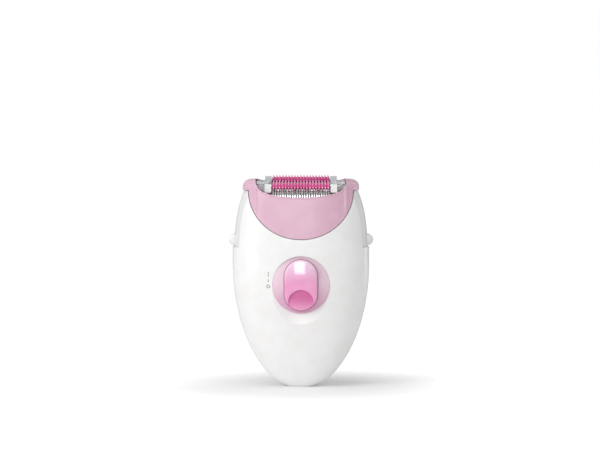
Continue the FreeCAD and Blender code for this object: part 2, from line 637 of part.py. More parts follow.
def make_gears():
    big = gear(WHEEL_TEETH, WHEEL, WHEEL_PHASE, WHEEL_X, WHEEL_X + WHEEL_FACE)
    small = gear(SMALL_TEETH, WHEEL, WHEEL_PHASE, WHEEL_X + WHEEL_FACE - 0.01, OUTPUT_X + OUTPUT_FACE + 0.2)
    bore = AXLE_RADIUS + RUN_FIT
    holes = lightening_holes(WHEEL, 7.8, 1.7, WHEEL_X + WHEEL_FACE)
    wheel = big.fuse(small).cut([rod_x(0, 40, WHEEL[0], WHEEL[1], bore)] + holes)
    save("compound_gear", wheel)

    output = gear(OUTPUT_TEETH, OUTPUT, OUTPUT_PHASE, OUTPUT_X, OUTPUT_X + OUTPUT_FACE)
    hub = rod_x(WHEEL_X + WHEEL_FACE + 0.6, OUTPUT_X + 1, OUTPUT[0], OUTPUT[1], 2.6)
    holes = lightening_holes(OUTPUT, 6.0, 1.6, 40)
    output = output.fuse(hub).cut([rod_x(0, 40, OUTPUT[0], OUTPUT[1], bore)] + holes)
    save("output_gear", output)

    ends = (PLATE_X0 + 0.4, COVER_X + COVER_THICKNESS)
    axles = [rod_x(ends[0], ends[1], c[0], c[1], AXLE_RADIUS) for c in (WHEEL, OUTPUT)]
    save_group("gear_axles", axles)


def make_chassis():
    back = box(-BACK_PLATE_HALF, BACK_PLATE_HALF, CHASSIS_BACK_Y - CHASSIS_WALL, CHASSIS_BACK_Y,
               CHASSIS_BOTTOM, BACK_PLATE_TOP)
    outline = [(-11.8, 54.0), (-11.8, 60.0), (-8.0, CHASSIS_TOP), (6.0, CHASSIS_TOP),
               (CHASSIS_BACK_Y, BACK_PLATE_TOP), (CHASSIS_BACK_Y, CHASSIS_BOTTOM), (-6.0, CHASSIS_BOTTOM)]
    plate = prism_x(outline, PLATE_X0, PLATE_X1)
    cradle = box(MOTOR_LEFT + 7, MOTOR_LEFT + 10, -5.0, CHASSIS_BACK_Y, CHASSIS_BOTTOM - 1.5, MOTOR[1])
    cradle = cradle.cut(rod_x(-30, 0, MOTOR[0], MOTOR[1], MOTOR_RADIUS + SMALL_GAP))
    ties = [rod_x(PLATE_X1, COVER_X, y, z, TIE_RADIUS) for y, z in TIES]
    bosses = []
    for x, z in BOARD_SCREWS:
        reach = PLATE_X0 if x > 0 else x
        bosses.append(rod_y(x, BOARD_FRONT_Y + BOARD_THICKNESS, BOARD_BOSS_BACK_Y, z, BOARD_BOSS_RADIUS))
        left = min(x, reach) - 0.8
        right = max(x, reach) + 0.8
        bosses.append(box(left, right, -8.0, BOARD_BOSS_BACK_Y, z - 1.5, z + 1.5))
    # the far board boss hangs on a strut that runs over the motor to the plate
    far_x, far_z = BOARD_SCREWS[0]
    strut = box(far_x - 1.5, PLATE_X0, -8.0, -5.6, far_z - 0.2, far_z + 2.4)
    body = fuse([back, plate, cradle, strut] + ties + bosses)
    cuts = [rod_x(0, PLATE_X1 + 1, MOTOR[0], MOTOR[1], 3.0)]
    cuts += [rod_x(PLATE_X0 + 0.4, 30, c[0], c[1], AXLE_RADIUS) for c in (WHEEL, OUTPUT)]
    cuts += [rod_x(COVER_X - TIE_SCREW_REACH, COVER_X + 1, y, z, SMALL_SCREW_RADIUS) for y, z in TIES]
    cuts += [rod_y(x, 0, 30, z, SCREW_RADIUS + SMALL_GAP) for x, z in CHASSIS_POSTS]
    cuts += [rod_y(x, -12, BOARD_SCREW_TIP_Y, z, SMALL_SCREW_RADIUS) for x, z in BOARD_SCREWS]
    save("chassis", body.cut(cuts))

    outline = [(-12.0, 55.0), (-12.0, 72.0), (-9.0, 80.0), (-6.5, CHASSIS_TOP), (5.0, CHASSIS_TOP),
               (9.0, 80.0), (13.0, 72.0), (13.0, 57.0), (12.0, 45.6), (8.4, 45.6), (7.0, 56.0), (-7.0, 56.0)]
    cover = prism_x(outline, COVER_X, COVER_X + COVER_THICKNESS)
    cover = cover.cut([rod_x(20, 30, c[0], c[1], AXLE_RADIUS) for c in (WHEEL, OUTPUT)])
    cover = cover.cut([rod_x(20, 30, y, z, SMALL_SCREW_RADIUS + SMALL_GAP) for y, z in TIES])
    save("chassis_cover", cover)

    screws = []
    face = COVER_X + COVER_THICKNESS
    for y, z in TIES:
        shank = rod_x(COVER_X - TIE_SCREW_REACH, face, y, z, SMALL_SCREW_RADIUS)
        screws.append(fuse([shank, rod_x(face, face + SMALL_SCREW_HEAD, y, z, SMALL_SCREW_HEAD_RADIUS)]))
    for x, z in BOARD_SCREWS:
        shank = rod_y(x, BOARD_FRONT_Y, BOARD_SCREW_TIP_Y, z, SMALL_SCREW_RADIUS)
        head = rod_y(x, BOARD_FRONT_Y - SMALL_SCREW_HEAD, BOARD_FRONT_Y, z, SMALL_SCREW_HEAD_RADIUS)
        screws.append(fuse([shank, head]))
    save_group("gearbox_screws", screws)
    mounting = []
    for x, z in CHASSIS_POSTS:
        screw = screw_y(x, -z, -CHASSIS_BACK_Y - POST_PILOT, -CHASSIS_BACK_Y + CHASSIS_WALL)
        screw.rotate(Vector(0, 0, 0), X_AXIS, 180)
        mounting.append(screw)
    save_group("chassis_screws", mounting)
    joining = [screw_y(x, z, SHELL_SCREW_TIP_Y, SHELL_SCREW_HEAD_Y) for x, z in SHELL_SCREWS]
    save_group("shell_screws", joining)


def make_deck():
    """Plate that closes the top of the body under the head, with a skirt behind the aprons."""
    outside = -WALL - SMALL_GAP
    deck = casing(outside, DECK_BOTTOM, DECK_TOP)
    deck = deck.cut(casing(outside - DECK_WALL, DECK_BOTTOM - 1, DECK_TOP - DECK_WALL))
    side = box(SKIRT_HALF_X, 60, -40, 40, 60, DECK_TOP - DECK_WALL)
    sides = [side, mirrored(side)]
    reach = pitch_radius(OUTPUT_TEETH) + ADDENDUM
    rise = DECK_TOP - DECK_WALL - OUTPUT[1]
    chord = math.sqrt(reach ** 2 - rise ** 2) + 0.5
    slot = box(OUTPUT_X - 0.5, OUTPUT_X + OUTPUT_FACE + 0.5, OUTPUT[0] - chord, OUTPUT[0] + chord, 60, 100)
    save("top_deck", deck.cut(sides + [slot]))


# ---- head ---------------------------------------------------------------------------------
def rim_cutter(points, y0, y1):
    """Solid above a smooth rim line drawn through (x, z) points and mirrored across x = 0."""
    full = [(-x, z) for x, z in points[:0:-1]] + points
    curve = Part.BSplineCurve()
    curve.interpolate([Vector(x, y0, z) for x, z in full])
    start = curve.StartPoint
    end = curve.EndPoint
    lift = Vector(0, 0, 12)
    edges = [curve.toShape(), Part.makeLine(end, end + lift), Part.makeLine(end + lift, start + lift)]
    edges.append(Part.makeLine(start + lift, start))
    return Part.Face(Part.Wire(edges)).extrude(Vector(0, y1 - y0, 0))


def horn_inset(rise):
    """How far a horn's rounded top is drawn in at a height above its base."""
    if rise <= HORN_STRAIGHT:
        return 0.0
    turn = (rise - HORN_STRAIGHT) / (HORN_TOP_Z - HORN_BASE_Z - HORN_STRAIGHT)
    return HORN_INSET * (1 - math.sqrt(max(0.0, 1 - turn ** 2)))


def lifting_core():
    """Upright prism inside which the head's low parts clear the narrowing shells as it lifts off."""
    a = APRON_HALF_WIDTH + BODY_GAP
    drop = APRON_DROP + BODY_GAP
    # level at which the U-shaped opening is already wider than the head's floor
    clear_z = APRON_Z - drop * math.sqrt(1 - ((FLOOR_HALF_X + BODY_GAP) / a) ** 2) + FLOOR_THICKNESS
    inset = WALL + BODY_GAP + SPLINE_ALLOWANCE
    front = half_depth(clear_z, FRONT_DEPTH) - inset
    back = half_depth(clear_z, BACK_DEPTH) - inset
    wire = oval(half_width(clear_z) - inset, front, back, FLOOR_Z - 5)
    return Part.Face(wire).extrude(Vector(0, 0, 30))


def make_collar():
    low = APRON_Z - APRON_DROP - 2
    inner_z = FLOOR_Z + FLOOR_THICKNESS
    hollow = casing(-APRON_WALL, low - 1, HORN_TOP_Z + 1)
    post = box(POST_INNER_X, APRON_HALF_WIDTH - 0.3, -30, 30, inner_z, HORN_TOP_Z + 3)
    crown_zone = box(APRON_HALF_WIDTH - 0.5, 60, -30, 30, inner_z, HORN_TOP_Z + 3)
    posts = fuse([post, crown_zone])
    form = casing(0, low, HORN_BASE_Z).common(apron_prism(0))

    wires = []
    for rise in HORN_RISES:
        z = HORN_BASE_Z + rise
        inset = horn_inset(rise)
        front = half_depth(z, FRONT_DEPTH) - inset * HORN_DEPTH_SHARE
        back = half_depth(z, BACK_DEPTH) - inset * HORN_DEPTH_SHARE
        wires.append(oval(half_width(HORN_BASE_Z) - inset, front, back, z))
    crown = Part.makeLoft(wires, True, False)
    collar = form.fuse(crown).cut(hollow.cut([posts, mirrored(posts)]))
    collar = collar.cut(box(-40, 40, -7.6, 7.6, low - 2, inner_z))
    deep = casing(-WALL - BODY_GAP, inner_z, HORN_BASE_Z + 1)
    inner_post = deep.common(post).common(lifting_core())
    collar = fuse([collar, inner_post, mirrored(inner_post)])

    front_rim = [(0, RIM_MIDDLE_Z), (10, RIM_MIDDLE_Z + 0.75), (RIM_SIDE_X, RIM_SIDE_Z),
                 (22.8, 107.0), (POST_INNER_X, 109.8), (POST_INNER_X + 0.2, HORN_TOP_Z + 1.5)]
    rear_rim = [(0, REAR_RIM_Z), (14, REAR_RIM_Z + 0.2), (21.5, 111.2), (POST_INNER_X + 1.5, HORN_TOP_Z + 1)]
    collar = collar.cut([rim_cutter(front_rim, -40, -5.0), rim_cutter(rear_rim, 5.0, 40)])
    tip_z = inner_z + HEAD_SCREW_REACH
    collar = collar.cut([rod_z(x, y, inner_z - 1, tip_z, SMALL_SCREW_RADIUS) for x, y in HEAD_SCREWS])
    save("head_collar", collar)


def make_head_frame():
    y, z = DRUM
    top = FLOOR_Z + FLOOR_THICKNESS
    plate = box(-FLOOR_HALF_X, FLOOR_HALF_X, -FLOOR_HALF_Y, FLOOR_HALF_Y, FLOOR_Z, top)
    floor = plate.common(lifting_core())
    reach = pitch_radius(OUTPUT_TEETH) + ADDENDUM
    chord = math.sqrt(reach ** 2 - (FLOOR_Z - OUTPUT[1]) ** 2) + 0.6
    left = OUTPUT_X - BODY_GAP - SMALL_GAP
    right = OUTPUT_X + OUTPUT_FACE + BODY_GAP + SMALL_GAP
    slot = box(left, right, OUTPUT[0] - chord, OUTPUT[0] + chord, 80, top + 1)
    pieces = [floor.cut(slot)]
    press_z = z - ROD_CIRCLE
    cuts = []
    for s in (-1, 1):
        x0 = min(s * BEARING_WALL_X, s * (BEARING_WALL_X + BEARING_WALL))
        x1 = x0 + BEARING_WALL
        pieces.append(box(x0, x1, -9.0, 8.0, FLOOR_Z, BEARING_WALL_TOP))
        pieces.append(rod_x(x0, x1, y, z, BEARING_BOSS))
        cuts.append(rod_x(x0 - 1, x1 + 1, y, z, BUSHING_RADIUS))
        window_y = PRESS_ROLLER_HALF + BODY_GAP
        window_z = PRESS_ROLLER_RADIUS + BODY_GAP
        cuts.append(box(x0 - 1, x1 + 1, y - window_y, y + window_y, press_z - window_z, press_z + window_z))
        cuts.append(rod_y(s * PRESS_X, y - PRESS_PIN_HALF, y + PRESS_PIN_HALF, press_z, PRESS_PIN_RADIUS))
    cuts += [rod_z(x, yy, 80, top + 1, SMALL_SCREW_RADIUS + SMALL_GAP) for x, yy in HEAD_SCREWS]
    save("head_frame", fuse(pieces).cut(cuts))
    bushings = []
    for s in (-1, 1):
        x0 = min(s * BEARING_WALL_X, s * (BEARING_WALL_X + BEARING_WALL))
        bushings.append(tube_x(x0, x0 + BEARING_WALL, y, z, BUSHING_RADIUS, DRUM_AXLE_RADIUS + RUN_FIT))
    save_group("drum_bushings", bushings)
    screws = []
    for x, yy in HEAD_SCREWS:
        shank = rod_z(x, yy, FLOOR_Z, top + HEAD_SCREW_REACH, SMALL_SCREW_RADIUS)
        head = rod_z(x, yy, FLOOR_Z - SMALL_SCREW_HEAD, FLOOR_Z, SMALL_SCREW_HEAD_RADIUS)
        screws.append(fuse([shank, head]))
    save_group("head_screws", screws)
    pins = []
    for s, name in ((-1, "left"), (1, "right")):
        x = s * PRESS_X
        roller = rod_y(x, y - PRESS_ROLLER_HALF, y + PRESS_ROLLER_HALF, press_z, PRESS_ROLLER_RADIUS)
        pin = rod_y(x, y - PRESS_PIN_HALF, y + PRESS_PIN_HALF, press_z, PRESS_PIN_RADIUS)
        bore = rod_y(x, y - 3, y + 3, press_z, PRESS_PIN_RADIUS + RUN_FIT)
        save("pressure_roller_" + name, roller.cut(bore))
        pins.append(pin)
    save_group("pressure_roller_pins", pins)


def make_drum():
    y, z = DRUM
    half = DRUM_HALF_LENGTH
    axle_left = -(BEARING_WALL_X + BEARING_WALL + 0.6)
    axle_right = OUTPUT_X + OUTPUT_FACE + 0.3
    save("drum_axle", rod_x(axle_left, axle_right, y, z, DRUM_AXLE_RADIUS))
    core = rod_x(-half, half, y, z, DRUM_CORE_RADIUS)
    # white spacers fill the room behind each fixed disc
    spacing = 2 * half / DISC_COUNT
    rods = [(y, z + s * ROD_CIRCLE) for s in (-1, 1)]
    spacers = []
    fixed = []
    moving = []
    wide = spacing - 2 * DISC_THICKNESS - NIP - BODY_GAP
    for k in range(DISC_COUNT):
        start = -half + k * spacing
        spacers.append(rod_x(start, start + wide, y, z, DISC_RADIUS - 1.0))
        fixed.append(toothed_disc(start + wide, RUN_FIT, rods, DRUM_CORE_RADIUS))
        facing = start + wide + DISC_THICKNESS + NIP
        moving.append(toothed_disc(facing, 0.0, rods, DRUM_CORE_RADIUS + SMALL_GAP))
    bores = [rod_x(-half - 1, half + 1, ry, rz, ROD_RADIUS + RUN_FIT) for ry, rz in rods]
    bores.append(rod_x(-half - 1, half + 1, y, z, DRUM_AXLE_RADIUS))
    save("drum_core", fuse([core] + spacers).cut(bores))
    save_group("tweezer_discs_fixed", fixed)
    save_group("tweezer_discs_moving", moving)
    reach = half + ROD_OVERHANG
    save_group("actuator_rods", [rod_x(-reach, reach, ry, rz, ROD_RADIUS) for ry, rz in rods])

    wheel = gear(DRUM_TEETH, DRUM, DRUM_PHASE, OUTPUT_X, OUTPUT_X + OUTPUT_FACE)
    save("drum_gear", wheel.cut(rod_x(0, 40, y, z, DRUM_AXLE_RADIUS)))


def toothed_disc(x, rod_clearance, rods, bore):
    """Thin metal tweezer disc whose rim is notched into six blades."""
    y, z = DRUM
    disc = rod_x(x, x + DISC_THICKNESS, y, z, DISC_RADIUS)
    cuts = [rod_x(x - 1, x + 2, y, z, bore)]
    cuts += [rod_x(x - 1, x + 2, ry, rz, ROD_RADIUS + rod_clearance) for ry, rz in rods]
    for k in range(BLADES):
        angle = 2 * math.pi * (k + 0.5) / BLADES
        notch_y = y + NOTCH_CIRCLE * math.cos(angle)
        notch_z = z + NOTCH_CIRCLE * math.sin(angle)
        cuts.append(rod_x(x - 1, x + 2, notch_y, notch_z, NOTCH_RADIUS))
    return disc.cut(cuts)


# ---- massage cap --------------------------------------------------------------------------
def make_cap():
    fy, fz = FRONT_ROLLER
    ry, rz = REAR_ROLLER
    outline = [(fy + 2.6, 108.6), (ry - 3.0, 108.6), (ry - 1.2, 107.9), (ry + 2.9, 108.4),
               (ry + 2.9, rz + 0.9), (ry + 1.6, rz + 1.9), (ry - 1.6, rz + 1.9), (ry - 3.2, 109.9),
               (fy + 2.6, 109.9)]
    pieces = []
    blocks = []
    for s in (-1, 1):
        x0 = min(s * END_PLATE_X, s * (END_PLATE_X + END_PLATE))
        x1 = x0 + END_PLATE
        pieces.append(prism_x(outline, x0, x1))
        arm0 = min(s * (END_PLATE_X + 1), s * ARM_END_X)
        arm1 = max(s * (END_PLATE_X + 1), s * ARM_END_X)
        pieces.append(box(arm0, arm1, fy - 2.0, fy + 2.6, fz + 1.1, fz + 2.6))
        pieces.append(box(arm0, arm1, ry - 1.6, ry + 1.0, rz - 2.4, rz - 0.2))
        pieces.append(box(x0, x1, fy + 2.0, fy + 3.0, fz + 1.1, fz + 2.6))
        blocks.append(box(x0, x1, fy - 2.4, fy + 2.4, fz - 3.4, fz + 1.1))
    inside = END_PLATE_X + 1
    outside = END_PLATE_X + END_PLATE
    pieces.append(box(-inside, inside, ry + 2.9, ry + 4.3, rz - 3.0, rz - 1.2))
    pieces.append(box(-outside, outside, ry + 2.7, ry + 3.0, rz - 3.0, rz - 1.2))
    pieces.append(box(-inside, inside, fy + 3.3, fy + 4.2, 108.9, 109.9))
    pin_reach = END_PLATE_X + END_PLATE - 0.8
    pins = [rod_x(-pin_reach, pin_reach, cy, cz, ROLLER_PIN) for cy, cz in (FRONT_ROLLER, REAR_ROLLER)]
    save("cap_frame", fuse(pieces).cut([pins[1]]))
    save_group("cap_end_blocks", [block.cut(pins[0]) for block in blocks])
    save_group("roller_axles", pins)
    for name, centre in (("front", FRONT_ROLLER), ("rear", REAR_ROLLER)):
        save("massage_roller_" + name, studded_roller(centre))


def studded_roller(centre):
    """Roller whose nubs stand in rings; each ring is a star of blunt pyramids."""
    y, z = centre
    half = ROLLER_LENGTH / 2
    pitch = ROLLER_LENGTH / ROLLER_NUBS
    nub = pitch * 0.62
    pieces = [rod_x(-half, half, y, z, ROLLER_CORE)]
    spread = math.pi / ROLLER_ROWS
    for ring in range(ROLLER_NUBS):
        middle = -half + pitch * (ring + 0.5)
        points = []
        for row in range(ROLLER_ROWS):
            angle = 2 * math.pi * row / ROLLER_ROWS
            for turn, radius in ((-0.8, ROLLER_CORE * 0.9), (-0.42, ROLLER_TIP - 0.35), (-0.2, ROLLER_TIP),
                                 (0.2, ROLLER_TIP), (0.42, ROLLER_TIP - 0.35), (0.8, ROLLER_CORE * 0.9)):
                a = angle + turn * spread
                points.append((y + radius * math.cos(a), z + radius * math.sin(a)))
        pieces.append(prism_x(points, middle - nub / 2, middle + nub / 2))
    return fuse(pieces).cut(rod_x(-half - 1, half + 1, y, z, ROLLER_PIN + RUN_FIT))


def make_leads():
    """Two supply leads from the inlet pins up to the circuit board."""
    leads = []
    for s in (-1, 1):
        start = Vector(s * PIN_X, 0, INLET_TOP + PIN_TAIL)
        end = Vector(s * 3.0 - 4.0, BOARD_FRONT_Y + BOARD_THICKNESS + 1.2, BOARD_LOW)
        points = [start, start + Vector(0, 0, 6), end + Vector(0, 1.5, -10), end + Vector(0, 0, -1), end]
        curve = Part.BSplineCurve()
        curve.interpolate(points)
        path = Part.Wire([curve.toShape()])
        ring = Part.Wire([Part.makeCircle(LEAD_RADIUS, start, Z_AXIS)])
        leads.append(path.makePipeShell([ring], True, True))
    save_group("supply_leads", leads)


make_shells()
make_foot_and_inlet()
make_side_panels()
make_release_buttons()
make_switch()
make_board()
make_motor()
make_gears()
make_chassis()
make_deck()
make_collar()
make_head_frame()
make_drum()
make_cap()
make_leads()
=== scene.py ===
import json
import math

import bmesh
import bpy
from mathutils import Matrix, Vector


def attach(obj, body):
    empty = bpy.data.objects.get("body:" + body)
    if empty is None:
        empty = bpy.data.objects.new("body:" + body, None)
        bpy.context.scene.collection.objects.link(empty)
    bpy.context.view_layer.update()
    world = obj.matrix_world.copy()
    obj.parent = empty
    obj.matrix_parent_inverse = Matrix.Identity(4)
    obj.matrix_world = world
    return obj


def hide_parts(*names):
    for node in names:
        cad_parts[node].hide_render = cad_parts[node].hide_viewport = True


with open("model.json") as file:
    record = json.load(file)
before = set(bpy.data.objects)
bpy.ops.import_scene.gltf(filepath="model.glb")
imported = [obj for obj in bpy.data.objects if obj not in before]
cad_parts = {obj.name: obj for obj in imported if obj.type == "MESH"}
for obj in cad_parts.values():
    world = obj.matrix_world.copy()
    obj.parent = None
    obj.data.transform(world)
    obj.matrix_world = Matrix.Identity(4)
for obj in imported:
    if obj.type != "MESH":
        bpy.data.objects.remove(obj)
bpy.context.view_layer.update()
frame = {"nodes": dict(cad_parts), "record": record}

# Looks for the epilator. Lengths are metres in the CAD's own frame: +Z from foot to head, front at -Y.
MM = 0.001
BODY_OF = {node: body for body, nodes in frame["record"]["behaviour"]["bodies"].items() for node in nodes}
SLOT_OF = {row["node"]: row["material_slot"] for row in frame["record"]["subparts"]}

# the casing's form, the same as in the CAD source
HALF_WIDTH = 37.0 * MM
WIDEST_Z = 66.0 * MM
FRONT_DEPTH = 19.0 * MM
BACK_DEPTH = 21.0 * MM
FOOT_REACH_X = 67.3 * MM
FOOT_REACH_Y = 68.4 * MM
TOP_REACH = 61.0 * MM
SQUARENESS = 2.3
WALL = 2.2 * MM
APRON_HALF_WIDTH = 28.0 * MM
APRON_DROP = 26.0 * MM
APRON_Z = 106.0 * MM
BODY_GAP = 0.35 * MM
DISH_Z = 47.3 * MM
DISH_RADIUS = 18.7 * MM
DISH_DEPTH = 2.6 * MM
BEZEL_Z = 55.7 * MM
BEZEL_RADIUS = 15.2 * MM
BEZEL_DOME_RADIUS = 46.0 * MM
BEZEL_FRONT_Y = -20.6 * MM
HORN_BASE_Z = 106.0 * MM
HORN_STRAIGHT = 2.0         # mm the collar's top rises straight before it rounds inwards
HORN_ROUND = 4.0            # mm over which it rounds
HORN_INSET = 4.9 * MM
HORN_DEPTH_SHARE = 0.3      # share of the inset that the front and back take
PANEL_INSET = 0.8 * MM      # how far the side panels lie below the casing
COLLAR_WALL = 1.8 * MM


# ---- colours and shader nodes -------------------------------------------------------------
def colour(hex_code):
    """An sRGB hex colour as linear RGBA."""
    parts = [int(hex_code[k:k + 2], 16) / 255 for k in (0, 2, 4)]
    return tuple(c / 12.92 if c <= 0.04045 else ((c + 0.055) / 1.055) ** 2.4 for c in parts) + (1.0,)


def add(tree, kind, links=None, values=None, **settings):
    """Adds one node. links and values fill its inputs, by name or number, and settings its properties."""
    node = tree.nodes.new(kind)
    for name, value in settings.items():
        setattr(node, name, value)
    for name, value in (values or {}).items():
        node.inputs[name].default_value = value
    for name, source in (links or {}).items():
        tree.links.new(source, node.inputs[name])
    return node


# numbered inputs: from, to and the two results of a map range; share and two colours of a colour mix
RANGE = (1, 2, 3, 4)
MIX_SHARE, MIX_FIRST, MIX_SECOND = 0, 6, 7
MIX_COLOUR_OUT = 2


def moulded(name, low, high, grain_mm, rough, bump, shader, edge=0.12, mottle_mm=9.0, strength=0.12, fade=None):
    """
    A plastic or metal finish. low and high are the two shades its colour drifts between, over
    patches of mottle_mm. rough is the lowest and highest roughness, edge the small radius in mm that
    softens sharp corners, and fade is (start height, end height, shade) in mm for a colour that
    changes up the piece, used here for painted shade and painted reflection. grain_mm is the size of
    the surface texture, and bump its depth in mm. The real grain is a few hundredths of a
    millimetre, too fine to show, so it is drawn coarser.
    """
    material = bpy.data.materials.new(name)
    material.use_nodes = True
    tree = material.node_tree
    tree.nodes.clear()
    place = add(tree, "ShaderNodeTexCoord").outputs["Object"]
    broad = add(tree, "ShaderNodeTexNoise", {"Vector": place}, {"Scale": 1 / (mottle_mm * MM), "Detail": 2.0})
    fine = add(tree, "ShaderNodeTexNoise", {"Vector": place},
               {"Scale": 1 / (grain_mm * MM), "Detail": 3.0, "Roughness": 0.6})
    drift = add(tree, "ShaderNodeMapRange", {"Value": broad.outputs["Fac"]},
                dict(zip(RANGE, (0.35, 0.65, 0.0, 1.0))))
    mixed = add(tree, "ShaderNodeMix", {MIX_SHARE: drift.outputs["Result"]},
                {MIX_FIRST: colour(low), MIX_SECOND: colour(high)}, data_type="RGBA")
    # painted shade or painted reflection: the colour turns towards another shade up the piece
    if fade:
        start, end, shade = fade
        height = add(tree, "ShaderNodeSeparateXYZ", {"Vector": place}).outputs["Z"]
        share = add(tree, "ShaderNodeMapRange", {"Value": height},
                    dict(zip(RANGE, (start * MM, end * MM, 0.0, 1.0))), interpolation_type="SMOOTHSTEP")
        mixed = add(tree, "ShaderNodeMix",
                    {MIX_SHARE: share.outputs["Result"], MIX_FIRST: mixed.outputs[MIX_COLOUR_OUT]},
                    {MIX_SECOND: colour(shade)}, data_type="RGBA")
    gloss = add(tree, "ShaderNodeMapRange", {"Value": fine.outputs["Fac"]}, dict(zip(RANGE, (0.3, 0.7) + rough)))
    rounded = add(tree, "ShaderNodeBevel", None, {"Radius": edge * MM}, samples=4)
    relief = add(tree, "ShaderNodeBump", {"Height": fine.outputs["Fac"], "Normal": rounded.outputs["Normal"]},
                 {"Strength": strength, "Distance": bump * MM})
    surface = add(tree, "ShaderNodeBsdfPrincipled",
                  {"Base Color": mixed.outputs[MIX_COLOUR_OUT], "Roughness": gloss.outputs["Result"],
                   "Normal": relief.outputs["Normal"]}, shader)
    add(tree, "ShaderNodeOutputMaterial", {"Surface": surface.outputs["BSDF"]}, is_active_output=True)
    return material


# Pearl-white ABS, gloss moulded: a faint warm and cool drift with a clear skin over a softer base.
PEARL_ABS = moulded("pearl_white_abs_gloss_moulded", "F5F4F3", "F8F8F8", 0.9, (0.26, 0.34), 0.002,
                    {"Coat Weight": 0.4, "Coat Roughness": 0.26, "IOR": 1.53, "Subsurface Weight": 0.04,
                     "Subsurface Radius": (0.002, 0.002, 0.002), "Sheen Weight": 0.1})
# The side panels are the same ABS with a satin, slightly greyer face that shows no sharp reflections.
SATIN_ABS = moulded("satin_abs_side_panel", "E4E4E5", "E8E8E9", 0.5, (0.38, 0.48), 0.006, {"IOR": 1.53})
# Pink ABS with a satin pearl lacquer: a broad soft sheen that lightens towards the light.
PINK_LACQUER = moulded("pink_abs_satin_pearl_lacquer", "DDB2C6", "E1B9CC", 0.35, (0.34, 0.42), 0.003,
                       {"Coat Weight": 0.25, "Coat Roughness": 0.3, "IOR": 1.5, "Sheen Weight": 0.25,
                        "Sheen Roughness": 0.4, "Sheen Tint": colour("F6DCE8")})
# The bezel is pale pink polished ABS, so it picks up sharper lamps than the collar; its colour is painted darker
# towards the bottom as painted shade.
BEZEL_GLOSS = moulded("pale_pink_abs_polished", "EDCFDD", "F0D5E2", 0.8, (0.2, 0.27), 0.003,
                      {"Coat Weight": 0.5, "Coat Roughness": 0.07, "IOR": 1.53}, fade=(58.0, 44.0, "DDA9C6"))
# The slider is tinted clear acrylic over a pink base with a mirror-like skin; its colour is painted whiter towards
# the top as a painted reflection of the lamps.
TINTED_ACRYLIC = moulded("pink_tinted_acrylic_polished", "F29FCD", "F5ABD5", 1.2, (0.1, 0.16), 0.001,
                         {"Coat Weight": 1.0, "Coat Roughness": 0.05, "IOR": 1.49, "Subsurface Weight": 0.35,
                          "Subsurface Radius": (0.004, 0.0015, 0.003), "Subsurface Scale": 0.6},
                         fade=(55.0, 69.0, "FBD9EE"))
# The finger dent is the acrylic's own deeper pink with a satin face that hides the lamps; it is painted darkest at
# its deep top and lighter towards its shallow bottom, as painted shade.
DENT_ACRYLIC = moulded("deep_pink_acrylic_satin_dent", "D4659F", "DA70A8", 0.5, (0.34, 0.42), 0.002,
                       {"IOR": 1.49, "Coat Weight": 0.3, "Coat Roughness": 0.25}, fade=(50.0, 41.5, "F0A4CC"))
# A narrow mauve ring round the slider's foot is coloured dark as painted shadow, standing for the shade in the gap
# between slider and bezel, and reads as a dark outline.
GAP_SHADOW_MAUVE = moulded("mauve_painted_gap_shadow", "97617E", "A06A87", 0.4, (0.5, 0.6), 0.004, {"IOR": 1.5})
# The rollers' nubs are painted a lighter pink as a painted highlight, standing for the light that passes through
# their thin tips.
PINK_NUB_PP = moulded("pink_polypropylene_thin_nubs", "F0A2C8", "F5B4D3", 0.4, (0.28, 0.38), 0.003,
                      {"IOR": 1.49, "Subsurface Weight": 0.3, "Subsurface Radius": (0.002, 0.001, 0.0015)})
# Massage rollers are soft-touch magenta polypropylene, duller in the grooves between the nubs.
MAGENTA_PP = moulded("magenta_polypropylene_moulded", "CE3280", "DA4390", 0.4, (0.3, 0.42), 0.006,
                     {"IOR": 1.49, "Subsurface Weight": 0.1, "Subsurface Radius": (0.002, 0.0006, 0.001)})
# Smoke-clear polycarbonate: grey, partly see-through, smooth.
SMOKE_PC = moulded("smoke_clear_polycarbonate", "DADCDE", "E2E4E6", 1.5, (0.14, 0.22), 0.002,
                   {"IOR": 1.58, "Transmission Weight": 0.35, "Coat Weight": 0.3, "Coat Roughness": 0.05})
# Milky polypropylene for the buttons and end blocks: bright white that light soaks into.
MILKY_PP = moulded("milky_white_polypropylene", "EBEBEC", "F2F2F2", 0.8, (0.18, 0.26), 0.003,
                   {"IOR": 1.49, "Subsurface Weight": 0.3, "Subsurface Radius": (0.003, 0.003, 0.003),
                    "Coat Weight": 0.5, "Coat Roughness": 0.06})
# Inner frames are plain white acetal, matte from the mould's spark-eroded texture.
WHITE_ACETAL = moulded("white_acetal_spark_texture", "DEDEDB", "E6E6E3", 0.25, (0.45, 0.6), 0.012, {"IOR": 1.48})
# Gears and pressure rollers are natural acetal, a little creamier and waxy.
NATURAL_ACETAL = moulded("natural_acetal_gear", "E0DCCB", "E9E5D6", 0.4, (0.3, 0.42), 0.006,
                         {"IOR": 1.48, "Subsurface Weight": 0.15, "Subsurface Radius": (0.002, 0.002, 0.0015)})
# Moulded black polyamide for the inlet and the motor's end cap: dark, with a dull broken sheen.
BLACK_PA = moulded("black_polyamide_moulded", "141415", "1E1E20", 0.3, (0.38, 0.55), 0.012, {"IOR": 1.53})
# Red PVC sleeving on the supply leads: an even red with a soft waxy sheen.
RED_PVC = moulded("red_pvc_wire_sleeve", "A51518", "B51C1E", 0.5, (0.35, 0.45), 0.004, {"IOR": 1.53})
# Stamped stainless discs: bright, with fine rolled grain.
STAMPED_STEEL = moulded("stainless_steel_stamped", "DCDCDE", "E8E8EA", 0.12, (0.18, 0.34), 0.006,
                        {"Metallic": 1.0}, edge=0.06)
